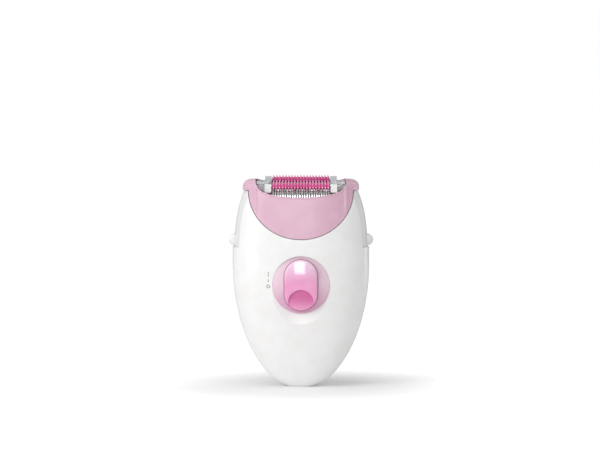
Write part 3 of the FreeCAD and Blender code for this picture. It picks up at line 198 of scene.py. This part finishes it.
# Turned and ground steel for screws, shafts, axles and springs: mid grey with soft narrow highlights.
TURNED_STEEL = moulded("steel_turned_and_ground", "A9AAAD", "BBBCBF", 0.2, (0.2, 0.36), 0.006,
                       {"Metallic": 1.0}, edge=0.08)
# The motor can is zinc-plated steel: greyer, slightly yellow and cloudy from the crystals.
ZINC_STEEL = moulded("steel_zinc_plated", "A7A9A6", "B9BBB6", 1.4, (0.28, 0.46), 0.01, {"Metallic": 1.0})
# Brass for the contacts, terminals, pinion and bushings: warm yellow with duller patches.
BRASS = moulded("brass_pressed", "C0985A", "D2AC6C", 0.3, (0.22, 0.38), 0.006, {"Metallic": 1.0}, edge=0.08)
# Nickel plating on the brass inlet pins: a pale, slightly yellow mirror.
NICKEL_BRASS = moulded("brass_nickel_plated", "C6C0AE", "D3CDBC", 0.3, (0.16, 0.28), 0.004, {"Metallic": 1.0})
# Sintered ferrite magnets: nearly black and dull, with a visible powder grain.
FERRITE = moulded("ferrite_magnet_sintered", "26262A", "323237", 0.25, (0.55, 0.75), 0.02, {"IOR": 1.6})
# The board's solder mask: a glossy dark green film over glass epoxy.
SOLDER_MASK = moulded("green_solder_mask_on_glass_epoxy", "14502A", "1A6233", 0.6, (0.25, 0.4), 0.01,
                      {"Coat Weight": 0.4, "Coat Roughness": 0.1})
# Pad-printed ink: flat grey with hardly any shine, so the marks stay readable.
GREY_INK = moulded("grey_pad_printed_ink", "6E6A6C", "7A7678", 0.3, (0.4, 0.55), 0.003, {"IOR": 1.5}, edge=0.02)

FINISH_OF = {
    "pearl_white": PEARL_ABS, "panel_grey": SATIN_ABS, "button_white": MILKY_PP, "inner_white": WHITE_ACETAL,
    "black_plastic": BLACK_PA, "plated_brass": NICKEL_BRASS, "brass": BRASS, "bezel_pink": BEZEL_GLOSS,
    "slider_pink": TINTED_ACRYLIC, "collar_pink": PINK_LACQUER, "board": SOLDER_MASK, "lead_rubber": RED_PVC,
    "steel": TURNED_STEEL, "plated_steel": ZINC_STEEL, "spring_steel": TURNED_STEEL, "disc_steel": STAMPED_STEEL,
    "magnet": FERRITE, "gear_plastic": NATURAL_ACETAL, "smoke_clear": SMOKE_PC, "roller_magenta": MAGENTA_PP,
}

for node_name, node_object in frame["nodes"].items():
    finish_material = FINISH_OF[SLOT_OF[node_name]]
    if not node_object.data.materials:
        node_object.data.materials.append(finish_material)
    for slot in node_object.material_slots:
        slot.material = finish_material


# ---- the surfaces that curved pieces lie on -----------------------------------------------
def half_width(z):
    if z < WIDEST_Z:
        return HALF_WIDTH * math.sqrt(max(1 - ((WIDEST_Z - z) / FOOT_REACH_X) ** 2, 1e-6))
    return HALF_WIDTH * math.sqrt(max(1 - ((z - WIDEST_Z) / TOP_REACH) ** 3, 1e-6))


def half_depth(z, depth):
    if z < WIDEST_Z:
        return depth * math.sqrt(max(1 - ((WIDEST_Z - z) / FOOT_REACH_Y) ** 2, 1e-6))
    return depth * math.sqrt(max(1 - ((z - WIDEST_Z) / TOP_REACH) ** 3, 1e-6))


def superellipse_gap(x, y, a, b):
    value = (abs(x / a) ** SQUARENESS + abs(y / b) ** SQUARENESS) ** (1 / SQUARENESS)
    return (value - 1) * min(a, b)


def casing(offset):
    """Distance-like measure from the casing's form, grown by offset."""
    def gap(p):
        depth = half_depth(p.z, BACK_DEPTH if p.y > 0 else FRONT_DEPTH) + offset
        return superellipse_gap(p.x, p.y, half_width(p.z) + offset, depth)
    return gap


def shell_y(x, z):
    """Y of the front shell's surface."""
    share = 1 - abs(x / half_width(z)) ** SQUARENESS
    return -half_depth(z, FRONT_DEPTH) * share ** (1 / SQUARENESS)


def horn_inset(z):
    """How far the collar's rounded top is drawn in at a height."""
    rise = min(max((z - HORN_BASE_Z) / MM, 0.0), HORN_STRAIGHT + HORN_ROUND)
    if rise < HORN_STRAIGHT:
        return 0.0
    return HORN_INSET * (1 - math.sqrt(max(1 - ((rise - HORN_STRAIGHT) / HORN_ROUND) ** 2, 0.0)))


def crown(p):
    inset = horn_inset(p.z)
    depth = half_depth(p.z, BACK_DEPTH if p.y > 0 else FRONT_DEPTH) - inset * HORN_DEPTH_SHARE
    return superellipse_gap(p.x, p.y, half_width(HORN_BASE_Z) - inset, depth)


def ball(centre, radius):
    return lambda p: (p - centre).length - radius


def dish(grow):
    radius = (DISH_RADIUS ** 2 + DISH_DEPTH ** 2) / (2 * DISH_DEPTH)
    surface = -half_depth(DISH_Z, FRONT_DEPTH)
    return ball(Vector((0, surface + DISH_DEPTH - radius, DISH_Z)), radius + grow)


def bore_y(x, z, radius):
    return lambda p: math.hypot(p.x - x, p.z - z) - radius


def apron(grow):
    """The U-shaped outline of the head, run through the depth."""
    a = APRON_HALF_WIDTH + grow
    c = APRON_DROP + grow

    def gap(p):
        if p.z > APRON_Z:
            return abs(p.x) - a
        return (math.hypot(p.x / a, (p.z - APRON_Z) / c) - 1) * min(a, c)
    return gap


AXES = (Vector((1, 0, 0)), Vector((0, 1, 0)), Vector((0, 0, 1)))


def slope(gap, p):
    """Direction in which a surface's measure grows."""
    step = 2e-6
    rise = [(gap(p + axis * step) - gap(p - axis * step)) / (2 * step) for axis in AXES]
    return Vector(rise)


RIDGE_X = 24.3 * MM         # faint upright ridge on each side of the collar's front
RIDGE_HEIGHT = 0.35 * MM
RIDGE_WIDTH = 0.9 * MM
RIDGE_START_Z = 92.0 * MM   # height at which a ridge starts to rise out of the collar
RIDGE_RUN = 6.0 * MM


def ridged(gap):
    """The same surface with the collar's two ridges raised on its front."""
    def raised(p):
        if p.y > 0:
            return gap(p)
        near = math.exp(-((abs(p.x) - RIDGE_X) / RIDGE_WIDTH) ** 2)
        ends = min(max((p.z - RIDGE_START_Z) / RIDGE_RUN, 0.0), 1.0)
        return gap(p) - RIDGE_HEIGHT * near * ends
    return raised


SETTLE_STEPS = 14
SETTLE_CLOSE = 1e-7         # metres at which a point counts as on its surfaces
SETTLE_REACH = 1.2 * MM     # a point that would move further than this stays where it was


def settle(start, gaps):
    """Moves a point onto every surface it belongs to."""
    p = start.copy()
    for _ in range(SETTLE_STEPS):
        worst = 0.0
        for gap in gaps:
            error = gap(p)
            worst = max(worst, abs(error))
            way = slope(gap, p)
            if way.length_squared > 1e-9 and abs(error) > 1e-8:
                p -= way * (error / way.length_squared)
        if worst < SETTLE_CLOSE:
            break
    return p if (p - start).length < SETTLE_REACH else start


def flat(normal, point):
    """Measure from a plane."""
    return lambda p: (p - point).dot(normal)


SAME_WAY = 0.8              # how well a face's normal has to agree with its surface's
MOST_DIVISIONS = 7
SAME_PLANE = 0.995


def smoothed(node_name, surfaces, edge_mm=1.4, tolerance=0.16, final=None):
    """
    A finer copy of a CAD node. Its triangles are divided and the new points are laid on the
    curved surfaces they came from, so that reflections run cleanly and edges stay crisp.
    final gives the surfaces that the points are laid on when the node has a moulded relief, while
    surfaces still says which of its faces belong to which.
    """
    bm = bmesh.new()
    bm.from_mesh(frame["nodes"][node_name].data)
    bmesh.ops.remove_doubles(bm, verts=bm.verts[:], dist=1e-6)
    for face in bm.faces:
        face.material_index = 0
        middle = face.calc_center_median()
        for number, gap in enumerate(surfaces, 1):
            if all(abs(gap(v.co)) < tolerance * MM for v in face.verts):
                way = slope(gap, middle).normalized()
                if abs(way.dot(face.normal)) > SAME_WAY:
                    face.material_index = number
                    break
    surfaces = final or surfaces
    for _ in range(MOST_DIVISIONS):
        long_edges = [e for e in bm.edges if e.calc_length() > edge_mm * MM
                      and any(f.material_index for f in e.link_faces)]
        if not long_edges:
            break
        bmesh.ops.subdivide_edges(bm, edges=long_edges, cuts=1, use_grid_fill=True)
        bmesh.ops.triangulate(bm, faces=bm.faces[:])
    bm.normal_update()
    places = {}
    for vert in bm.verts:
        numbers = {f.material_index for f in vert.link_faces}
        if numbers == {0}:
            continue
        gaps = [surfaces[n - 1] for n in sorted(numbers) if n]
        planes = []
        for face in vert.link_faces:
            if face.material_index == 0 and face.calc_area() > 1e-10:
                if all(abs(face.normal.dot(n)) < SAME_PLANE for n in planes):
                    planes.append(face.normal.copy())
        gaps += [flat(n, vert.co.copy()) for n in planes[:2]]
        places[vert.index] = settle(vert.co, gaps)
    bm.verts.ensure_lookup_table()
    for index, place in places.items():
        bm.verts[index].co = place
    bm.normal_update()
    mesh = bpy.data.meshes.new(node_name + "_skin")
    kinds = [f.material_index for f in bm.faces]
    bm.to_mesh(mesh)
    bm.free()
    normals = []
    for face, kind in zip(mesh.polygons, kinds):
        for index in face.vertices:
            normal = face.normal.copy()
            if kind:
                way = slope(surfaces[kind - 1], mesh.vertices[index].co).normalized()
                normal = way if way.dot(face.normal) > 0 else -way
            normals.append(normal)
    mesh.polygons.foreach_set("use_smooth", [True] * len(mesh.polygons))
    mesh.polygons.foreach_set("material_index", [0] * len(mesh.polygons))
    mesh.normals_split_custom_set(normals)
    piece(node_name + "_skin", mesh, node_name)


def piece(name, mesh, stands_for=None, body=None, slot_name=None, material=None):
    """Puts a mesh in the scene, gives it its finish and rides it on its body."""
    made = bpy.data.objects.new(name, mesh)
    bpy.context.scene.collection.objects.link(made)
    slot_name = slot_name or SLOT_OF[stands_for]
    mesh.materials.clear()
    mesh.materials.append(material or FINISH_OF[slot_name])
    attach(made, body or BODY_OF[stands_for])
    if stands_for:
        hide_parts(stands_for)
    return made


def mesh_from(bm, name, smooth_angle=None):
    """Turns a bmesh into a mesh, smooth but for the edges sharper than the angle."""
    bmesh.ops.recalc_face_normals(bm, faces=bm.faces[:])
    if smooth_angle is not None:
        for edge in bm.edges:
            edge.smooth = len(edge.link_faces) == 2 and edge.calc_face_angle() < math.radians(smooth_angle)
    for face in bm.faces:
        face.smooth = smooth_angle is not None
    mesh = bpy.data.meshes.new(name)
    bm.to_mesh(mesh)
    bm.free()
    return mesh


# ---- shells, foot, side panels, collar and bezel ------------------------------------------
SHELL_SCREWS = [(-12.0, 24.0), (12.0, 24.0), (-29.5, 66.0), (29.5, 66.0)]
SHELL_FORMS = [casing(0), casing(-WALL), apron(BODY_GAP)]
smoothed("front_shell", SHELL_FORMS + [dish(0), dish(WALL), bore_y(0, BEZEL_Z, BEZEL_RADIUS + 0.1 * MM)])
smoothed("back_shell", SHELL_FORMS + [bore_y(x * MM, z * MM, 2.2 * MM) for x, z in SHELL_SCREWS])
smoothed("foot_ring", [casing(0)])
for panel in ("side_panel_left", "side_panel_right"):
    smoothed(panel, [casing(-PANEL_INSET), casing(-WALL), apron(BODY_GAP)])
smoothed("head_collar", [casing(0), casing(-COLLAR_WALL), apron(0), crown], edge_mm=0.8,
         final=[ridged(casing(0)), casing(-COLLAR_WALL), apron(0), ridged(crown)])
smoothed("switch_bezel", [ball(Vector((0, BEZEL_FRONT_Y + BEZEL_DOME_RADIUS, BEZEL_Z)), BEZEL_DOME_RADIUS),
                          bore_y(0, BEZEL_Z, BEZEL_RADIUS)], edge_mm=0.9)


# ---- slider -------------------------------------------------------------------------------
SLIDER_WIDTH = 17.8 * MM
SLIDER_HEIGHT = 27.0 * MM
SLIDER_BACK_Y = -19.95 * MM
SLIDER_EDGE = 1.7 * MM
SLIDER_DOME = 1.3 * MM
EDGE_ROUND = 0.9 * MM
GAP_SHADOW_REACH = 0.32 * MM             # how far the ring painted as the gap's shadow shows around the slider
DENT_CENTRE_Z = 46.6 * MM
DENT_HALF_WIDTH = 6.9 * MM
DENT_HALF_HEIGHT = 6.8 * MM
DENT_DEPTH = 1.3 * MM
DENT_WALL = 0.7 * MM        # width over which the dent's edge falls away
SLIDER_SEGMENTS = 120
SLIDER_SIDE_CUTS = 14
SLIDER_RINGS = 34           # from the rounded edge to the middle line
EDGE_STEPS = 6


def dent_inside(x, z):
    """Distance inside the dent's oval outline, negative outside it."""
    reach = math.hypot(x / DENT_HALF_WIDTH, (z - DENT_CENTRE_Z) / DENT_HALF_HEIGHT)
    return (1 - reach) * DENT_HALF_HEIGHT


def slider_front(x, z):
    """Y of the slider's face: a crossed dome with a thumb dent that is deepest at its top."""
    across = (x / (SLIDER_WIDTH / 2)) ** 2 * 0.9 * MM
    along = ((z - BEZEL_Z) / (SLIDER_HEIGHT / 2)) ** 2 * SLIDER_DOME
    rise = SLIDER_EDGE + SLIDER_DOME - across - along
    step = min(max(dent_inside(x, z) / DENT_WALL, 0.0), 1.0)
    ramp = min(max((z - DENT_CENTRE_Z + DENT_HALF_HEIGHT) / (2 * DENT_HALF_HEIGHT), 0.0), 1.0)
    return SLIDER_BACK_Y - rise + DENT_DEPTH * (3 * step ** 2 - 2 * step ** 3) * ramp ** 0.7


def make_slider():
    """Rings run from the ring painted as the gap's shadow round the slider, over its rounded edge, to its middle
    line.
    """
    half = SLIDER_WIDTH / 2
    straight = (SLIDER_HEIGHT - SLIDER_WIDTH) / 2
    bm = bmesh.new()
    facing = Matrix.Rotation(math.radians(90), 4, "X")
    bmesh.ops.create_circle(bm, segments=SLIDER_SEGMENTS, radius=half, matrix=facing, cap_ends=False)
    for vert in bm.verts:
        if abs(vert.co.z) > 1e-7:
            vert.co.z += math.copysign(straight, vert.co.z)
    sides = [e for e in bm.edges if e.calc_length() > straight / 2]
    bmesh.ops.subdivide_edges(bm, edges=sides, cuts=SLIDER_SIDE_CUTS)
    anchors = {v: Vector((0, 0, min(max(v.co.z, -straight), straight))) for v in bm.verts}
    edge_y = SLIDER_BACK_Y - SLIDER_EDGE * 0.4
    # the first two rings form the dark ring painted as the gap's shadow
    rings = [(half + GAP_SHADOW_REACH, SLIDER_BACK_Y, None), (half + GAP_SHADOW_REACH, SLIDER_BACK_Y - 0.3 * MM, None),
             (half, SLIDER_BACK_Y - 0.34 * MM, None), (half, edge_y, None)]
    for step in range(1, EDGE_STEPS + 1):
        turn = math.radians(90 / EDGE_STEPS * step)
        rings.append((half - EDGE_ROUND * (1 - math.cos(turn)), None, 1 - math.sin(turn)))
    inner = half - EDGE_ROUND
    rings += [(inner * (1 - k / SLIDER_RINGS), None, 0.0) for k in range(1, SLIDER_RINGS + 1)]
    loop = bm.edges[:]
    ring = set(bm.verts)
    spokes = {v: (v.co - anchors[v]).normalized() for v in ring}
    for number, (radius, flat_y, drop) in enumerate(rings):
        if number:
            made = bmesh.ops.extrude_edge_only(bm, edges=loop)["geom"]
            loop = [g for g in made if isinstance(g, bmesh.types.BMEdge)]
            fresh = {g for g in made if isinstance(g, bmesh.types.BMVert)}
            for vert in fresh:
                old = next(e.other_vert(vert) for e in vert.link_edges if e.other_vert(vert) in ring)
                spokes[vert] = spokes[old]
                anchors[vert] = anchors[old]
            ring = fresh
        for vert in ring:
            place = anchors[vert] + spokes[vert] * radius
            z = place.z + BEZEL_Z
            top = slider_front(place.x, z)
            y = flat_y if flat_y is not None else top + (edge_y - top) * drop
            vert.co = (place.x, y, z)
    bmesh.ops.remove_doubles(bm, verts=bm.verts[:], dist=2e-6)
    rim = [e for e in bm.edges if e.is_boundary]
    bmesh.ops.holes_fill(bm, edges=rim, sides=0)
    mesh = mesh_from(bm, "slider_skin", 40)
    piece("slider_skin", mesh, "switch_slider")
    for extra in (DENT_ACRYLIC, GAP_SHADOW_MAUVE):
        mesh.materials.append(extra)
    for face in mesh.polygons:
        centre = face.center
        outward = math.hypot(centre.x, max(abs(centre.z - BEZEL_Z) - straight, 0.0))
        # faces of the outer ring take the mauve painted gap shadow
        if outward > half - 0.02 * MM and centre.y > SLIDER_BACK_Y - 0.4 * MM:
            face.material_index = 2
        elif dent_inside(centre.x, centre.z) > DENT_WALL * 0.15:
            face.material_index = 1


make_slider()


# ---- massage rollers ----------------------------------------------------------------------
ROLLERS = {"massage_roller_front": (-9.8 * MM, 108.2 * MM), "massage_roller_rear": (6.8 * MM, 111.4 * MM)}
ROLLER_CORE = 1.5 * MM
ROLLER_TIP = 2.5 * MM
ROLLER_LENGTH = 31.0 * MM
ROLLER_NUBS = 19
ROLLER_ROWS = 6


def make_roller(node_name):
    """A core with rings of blunt tapered nubs."""
    y, z = ROLLERS[node_name]
    middle = Matrix.Translation((0, y, z))
    along = Matrix.Rotation(math.radians(90), 4, "Y")
    bm = bmesh.new()
    bmesh.ops.create_cone(bm, cap_ends=True, segments=40, radius1=ROLLER_CORE, radius2=ROLLER_CORE,
                          depth=ROLLER_LENGTH, matrix=middle @ along)
    rims = [e for e in bm.edges if abs(e.verts[0].co.x - e.verts[1].co.x) < 1e-6]
    bmesh.ops.bevel(bm, geom=rims, offset=0.25 * MM, segments=2, profile=0.5, affect="EDGES", material=-1)
    core_faces = len(bm.faces)
    pitch = ROLLER_LENGTH / ROLLER_NUBS
    height = ROLLER_TIP - ROLLER_CORE + 0.3 * MM
    for ring in range(ROLLER_NUBS):
        x = (ring + 0.5) * pitch - ROLLER_LENGTH / 2
        for row in range(ROLLER_ROWS):
            turn = Matrix.Rotation(2 * math.pi * row / ROLLER_ROWS, 4, "X")
            out = Matrix.Translation((x, 0, ROLLER_CORE - 0.3 * MM + height / 2))
            made = bmesh.ops.create_cone(bm, cap_ends=True, segments=8, radius1=0.6 * MM, radius2=0.2 * MM,
                                         depth=height, matrix=middle @ turn @ out)
            tip = [e for v in made["verts"] for e in v.link_edges
                   if all((w.co - Vector((x, y, z))).length > ROLLER_TIP - 0.05 * MM for w in e.verts)]
            bmesh.ops.bevel(bm, geom=list(set(tip)), offset=0.1 * MM, segments=1, profile=0.5, affect="EDGES",
                            material=-1)
    mesh = mesh_from(bm, node_name + "_skin", 35)
    piece(node_name + "_skin", mesh, node_name)
    mesh.materials.append(PINK_NUB_PP)
    for face in mesh.polygons:
        far = math.hypot(face.center.y - y, face.center.z - z)
        if far > ROLLER_CORE + 0.25 * MM and abs(face.center.x) < ROLLER_LENGTH / 2 - 0.3 * MM:
            face.material_index = 1


for roller_name in ROLLERS:
    make_roller(roller_name)


# ---- clear webs of the cap and the collar's rolled rim ---------------------------------------
WEB_Y = (-9.7 * MM, -8.5 * MM)
WEB_X = (19.2 * MM, 23.8 * MM)
WEB_LOW_Z = (104.9 * MM, 106.9 * MM)     # at its inner and outer end
WEB_TOP_Z = 109.5 * MM


def make_webs():
    """Thin clear walls that close the ends of the head between the roller blocks and the horns."""
    bm = bmesh.new()
    for side in (-1, 1):
        made = bmesh.ops.create_cube(bm, size=1.0)["verts"]
        for vert in made:
            outer = vert.co.x > 0
            low_z = WEB_LOW_Z[outer]
            vert.co = (side * WEB_X[outer], WEB_Y[vert.co.y > 0], WEB_TOP_Z if vert.co.z > 0 else low_z)
    bmesh.ops.bevel(bm, geom=bm.edges[:], offset=0.25 * MM, segments=3, profile=0.5, affect="EDGES", material=-1)
    piece("cap_webs", mesh_from(bm, "cap_webs", 40), None, "massage_cap", "smoke_clear")


make_webs()

RIM = [(0.0, 102.0), (10.0, 102.75), (19.4, 104.8), (22.8, 107.0), (24.2, 109.8)]      # X and Z, in mm
RIM_NEXT = (24.5, 112.0)    # where the rim goes on past its last point
RIM_BEAD = 0.42 * MM
BEAD_STEPS = 46             # along each half
BEAD_REACH = 23.6 * MM
BEAD_DROP = 0.5 * MM        # how far below the rim the bead's middle lies
BEAD_SINK = 0.2 * MM


def rim_point(x):
    """Height of the collar's front rim at a distance from the middle, through the rim's own points."""
    x = abs(x) / MM
    for k in range(len(RIM) - 1):
        (x0, z0), (x1, z1) = RIM[k], RIM[k + 1]
        if x <= x1:
            before = RIM[k - 1] if k else (-RIM[1][0], RIM[1][1])
            after = RIM[k + 2] if k + 2 < len(RIM) else RIM_NEXT
            slope0 = (z1 - before[1]) / (x1 - before[0])
            slope1 = (after[1] - z0) / (after[0] - x0)
            t = (x - x0) / (x1 - x0)
            span = x1 - x0
            bend = (t ** 3 - 2 * t ** 2 + t) * slope0 * span + (t ** 3 - t ** 2) * slope1 * span
            return (z0 + (3 * t ** 2 - 2 * t ** 3) * (z1 - z0) + bend) * MM
    return RIM[-1][1] * MM


def sweep(bm, points, radius, sides=12):
    """A round bead through points, made by extruding one ring from each point to the next."""
    ring = bmesh.ops.create_circle(bm, segments=sides, radius=radius, cap_ends=True)["verts"]
    shape = [v.co.copy() for v in ring]
    loop = list({e for v in ring for e in v.link_edges})
    for number, point in enumerate(points):
        ahead = points[min(number + 1, len(points) - 1)] - points[max(number - 1, 0)]
        turn = ahead.to_track_quat("Z", "Y")
        if number:
            made = bmesh.ops.extrude_edge_only(bm, edges=loop)["geom"]
            loop = [g for g in made if isinstance(g, bmesh.types.BMEdge)]
            fresh = {g for g in made if isinstance(g, bmesh.types.BMVert)}
            ring = [next(e.other_vert(v) for e in v.link_edges if e.other_vert(v) in fresh) for v in ring]
        taper = 0.35 if number in (0, len(points) - 1) else 1.0
        for vert, place in zip(ring, shape):
            vert.co = point + turn @ (place * taper)
    bmesh.ops.holes_fill(bm, edges=[e for e in loop if e.is_boundary], sides=0)


def make_rim_bead():
    """A narrow rounded bead along the collar's front rim."""
    points = []
    for step in range(-BEAD_STEPS, BEAD_STEPS + 1):
        x = step / BEAD_STEPS * BEAD_REACH
        z = rim_point(x) - BEAD_DROP
        points.append(Vector((x, shell_y(x, z) + BEAD_SINK, z)))
    bm = bmesh.new()
    sweep(bm, points, RIM_BEAD)
    piece("collar_rim_bead", mesh_from(bm, "collar_rim_bead", 60), None, "head", "collar_pink")


make_rim_bead()


# ---- switch marks -------------------------------------------------------------------------
MARK_X = -17.4 * MM
MARK_LIFT = 0.03 * MM       # thickness of the printed ink
MARK_STROKE = 0.34 * MM
MARK_SINK = 0.2 * MM        # how deep the ink's sides reach into the shell
MARK_SQUARENESS = 0.35      # turns a round outline into a bar with rounded ends


def printed(name, outlines):
    """Ink shapes laid on the shell. Each outline is (z, half width, half height, hollow)."""
    bm = bmesh.new()
    facing = Matrix.Rotation(math.radians(90), 4, "X")
    for z, wide, high, hollow in outlines:
        made = bmesh.ops.create_circle(bm, segments=40, radius=1.0, matrix=facing, cap_ends=not hollow)["verts"]
        if hollow:
            loop = list({e for v in made for e in v.link_edges})
            extruded = bmesh.ops.extrude_edge_only(bm, edges=loop)["geom"]
            inner = [g for g in extruded if isinstance(g, bmesh.types.BMVert)]
            for vert in inner:
                vert.co *= 1 - MARK_STROKE / wide
            made = made + inner
        for vert in made:
            power = 1.0 if hollow else MARK_SQUARENESS
            x = math.copysign(abs(vert.co.x) ** power, vert.co.x) * wide
            vert.co = (MARK_X + x, 0, z + math.copysign(abs(vert.co.z) ** power, vert.co.z) * high)
    for vert in bm.verts:
        vert.co.y = shell_y(vert.co.x, vert.co.z) + MARK_SINK
    top = bmesh.ops.extrude_face_region(bm, geom=bm.faces[:])["geom"]
    for vert in [g for g in top if isinstance(g, bmesh.types.BMVert)]:
        vert.co.y -= MARK_SINK + MARK_LIFT
    mesh = mesh_from(bm, name, 30)
    piece(name, mesh, None, "body", "panel_grey", GREY_INK)


RING_RADIUS = 0.95 * MM
BAR_HALF = (0.16 * MM, 0.75 * MM)
FOOT_HALF = (0.45 * MM, 0.16 * MM)
printed("switch_marks", [(54.9 * MM, RING_RADIUS, RING_RADIUS, True), (58.0 * MM, *BAR_HALF, False),
                         (60.9 * MM, *BAR_HALF, False), (60.9 * MM + 1.3 * MM, *FOOT_HALF, False)])


# ---- camera, lamps, floor -----------------------------------------------------------------
def lamp(name, place, aim, size, power):
    """A white panel lamp; place and aim are in metres, power in watts."""
    data = bpy.data.lights.new(name, "AREA")
    data.shape = "RECTANGLE"
    data.size = size[0]
    data.size_y = size[1]
    data.energy = power
    made = bpy.data.objects.new(name, data)
    made.location = place
    made.rotation_euler = (Vector(aim) - Vector(place)).to_track_quat("-Z", "Y").to_euler()
    bpy.context.scene.collection.objects.link(made)


LAMPS = [                   # name, place, aim, width and height, watts
    ("key_left", (-0.85, -0.7, 0.45), (0, 0, 0.07), (0.4, 0.9), 4.0),
    ("top_soft", (-0.15, -0.3, 1.0), (0, 0, 0.08), (0.7, 0.7), 2.3),
    ("front_glint", (-0.04, -1.15, 0.36), (0, 0, 0.07), (0.3, 0.34), 2.0),
    ("rim_right", (0.75, 0.35, 0.3), (0, 0, 0.07), (0.2, 0.7), 1.1),
]
CAMERA_TARGET = Vector((-0.0005, 0, 0.087))
CAMERA_DISTANCE = 1.2
CAMERA_RISE = 2.2           # degrees above level
CAMERA_LENS = 133.3         # mm, on a 36 mm wide sensor
ROOM_LEVELS = (0.56, 0.3)  # brightness of the white room as the object sees it, on its left and right
FLOOR_GLOW_NEAR = 0.03     # light added to the paper for the camera alone, close to the object, kept low there as a painted contact shadow
FLOOR_GLOW_FAR = 0.7       # the same far away, so that the paper runs into the white backdrop
FLOOR_GLOW_REACH = (0.015, 0.16)      # metres from the object's middle between which it grows


def studio():
    """White room, paper floor, lamps and camera."""
    scene = bpy.context.scene
    scene.view_settings.view_transform = "Standard"
    world = bpy.data.worlds.new("studio_white")
    scene.world = world
    world.use_nodes = True
    tree = world.node_tree
    tree.nodes.clear()
    path = add(tree, "ShaderNodeLightPath")
    seen = add(tree, "ShaderNodeMath", {0: path.outputs["Is Camera Ray"], 1: path.outputs["Is Transmission Ray"]},
               operation="MAXIMUM")
    # the room is brighter on the left and dimmer on the right, so one side of the body falls off
    sideways = add(tree, "ShaderNodeSeparateXYZ", {"Vector": add(tree, "ShaderNodeTexCoord").outputs["Generated"]})
    room = add(tree, "ShaderNodeMapRange", {"Value": sideways.outputs["X"]},
               dict(zip(RANGE, (-1.0, 1.0) + ROOM_LEVELS)))
    strength = add(tree, "ShaderNodeMapRange", {"Value": seen.outputs[0], "To Min": room.outputs["Result"]},
                   {"To Max": 1.0})
    back = add(tree, "ShaderNodeBackground", {"Strength": strength.outputs["Result"]}, {"Color": (1, 1, 1, 1)})
    add(tree, "ShaderNodeOutputWorld", {"Surface": back.outputs["Background"]})

    bm = bmesh.new()
    bmesh.ops.create_grid(bm, x_segments=2, y_segments=2, size=4.0)
    floor = bpy.data.objects.new("studio_floor", mesh_from(bm, "studio_floor"))
    scene.collection.objects.link(floor)
    paper = bpy.data.materials.new("white_paper_sweep")
    paper.use_nodes = True
    tree = paper.node_tree
    tree.nodes.clear()
    place = add(tree, "ShaderNodeTexCoord").outputs["Object"]
    fibre = add(tree, "ShaderNodeTexNoise", {"Vector": place}, {"Scale": 900.0})
    drift = add(tree, "ShaderNodeMapRange", {"Value": fibre.outputs["Fac"]},
                dict(zip(RANGE, (0.3, 0.7, 0.0, 1.0))))
    tint = add(tree, "ShaderNodeMix", {MIX_SHARE: drift.outputs["Result"]},
               {MIX_FIRST: colour("F7F7F7"), MIX_SECOND: colour("FBFBFB")}, data_type="RGBA")
    matte = add(tree, "ShaderNodeBsdfDiffuse", {"Color": tint.outputs[MIX_COLOUR_OUT]})
    path = add(tree, "ShaderNodeLightPath")
    # the paper's added light is least round the object, so the floor there reads darker as a painted contact
    # shadow
    away = add(tree, "ShaderNodeVectorMath", {0: place}, operation="LENGTH")
    fade = add(tree, "ShaderNodeMapRange", {"Value": away.outputs["Value"]},
               dict(zip(RANGE, FLOOR_GLOW_REACH + (FLOOR_GLOW_NEAR, FLOOR_GLOW_FAR))),
               interpolation_type="SMOOTHSTEP")
    lift = add(tree, "ShaderNodeMath", {0: path.outputs["Is Camera Ray"], 1: fade.outputs["Result"]},
               operation="MULTIPLY")
    glow = add(tree, "ShaderNodeEmission", {"Strength": lift.outputs[0]}, {"Color": (1, 1, 1, 1)})
    both = add(tree, "ShaderNodeAddShader", {0: matte.outputs[0], 1: glow.outputs[0]})
    add(tree, "ShaderNodeOutputMaterial", {"Surface": both.outputs[0]})
    floor.data.materials.append(paper)

    for row in LAMPS:
        lamp(*row)

    data = bpy.data.cameras.new("view_camera")
    data.sensor_width = 36.0
    data.lens = CAMERA_LENS
    camera = bpy.data.objects.new("view_camera", data)
    scene.collection.objects.link(camera)
    rise = math.radians(CAMERA_RISE)
    camera.location = CAMERA_TARGET + Vector((0, -math.cos(rise), math.sin(rise))) * CAMERA_DISTANCE
    camera.rotation_euler = (CAMERA_TARGET - camera.location).to_track_quat("-Z", "Y").to_euler()
    scene.camera = camera


studio()
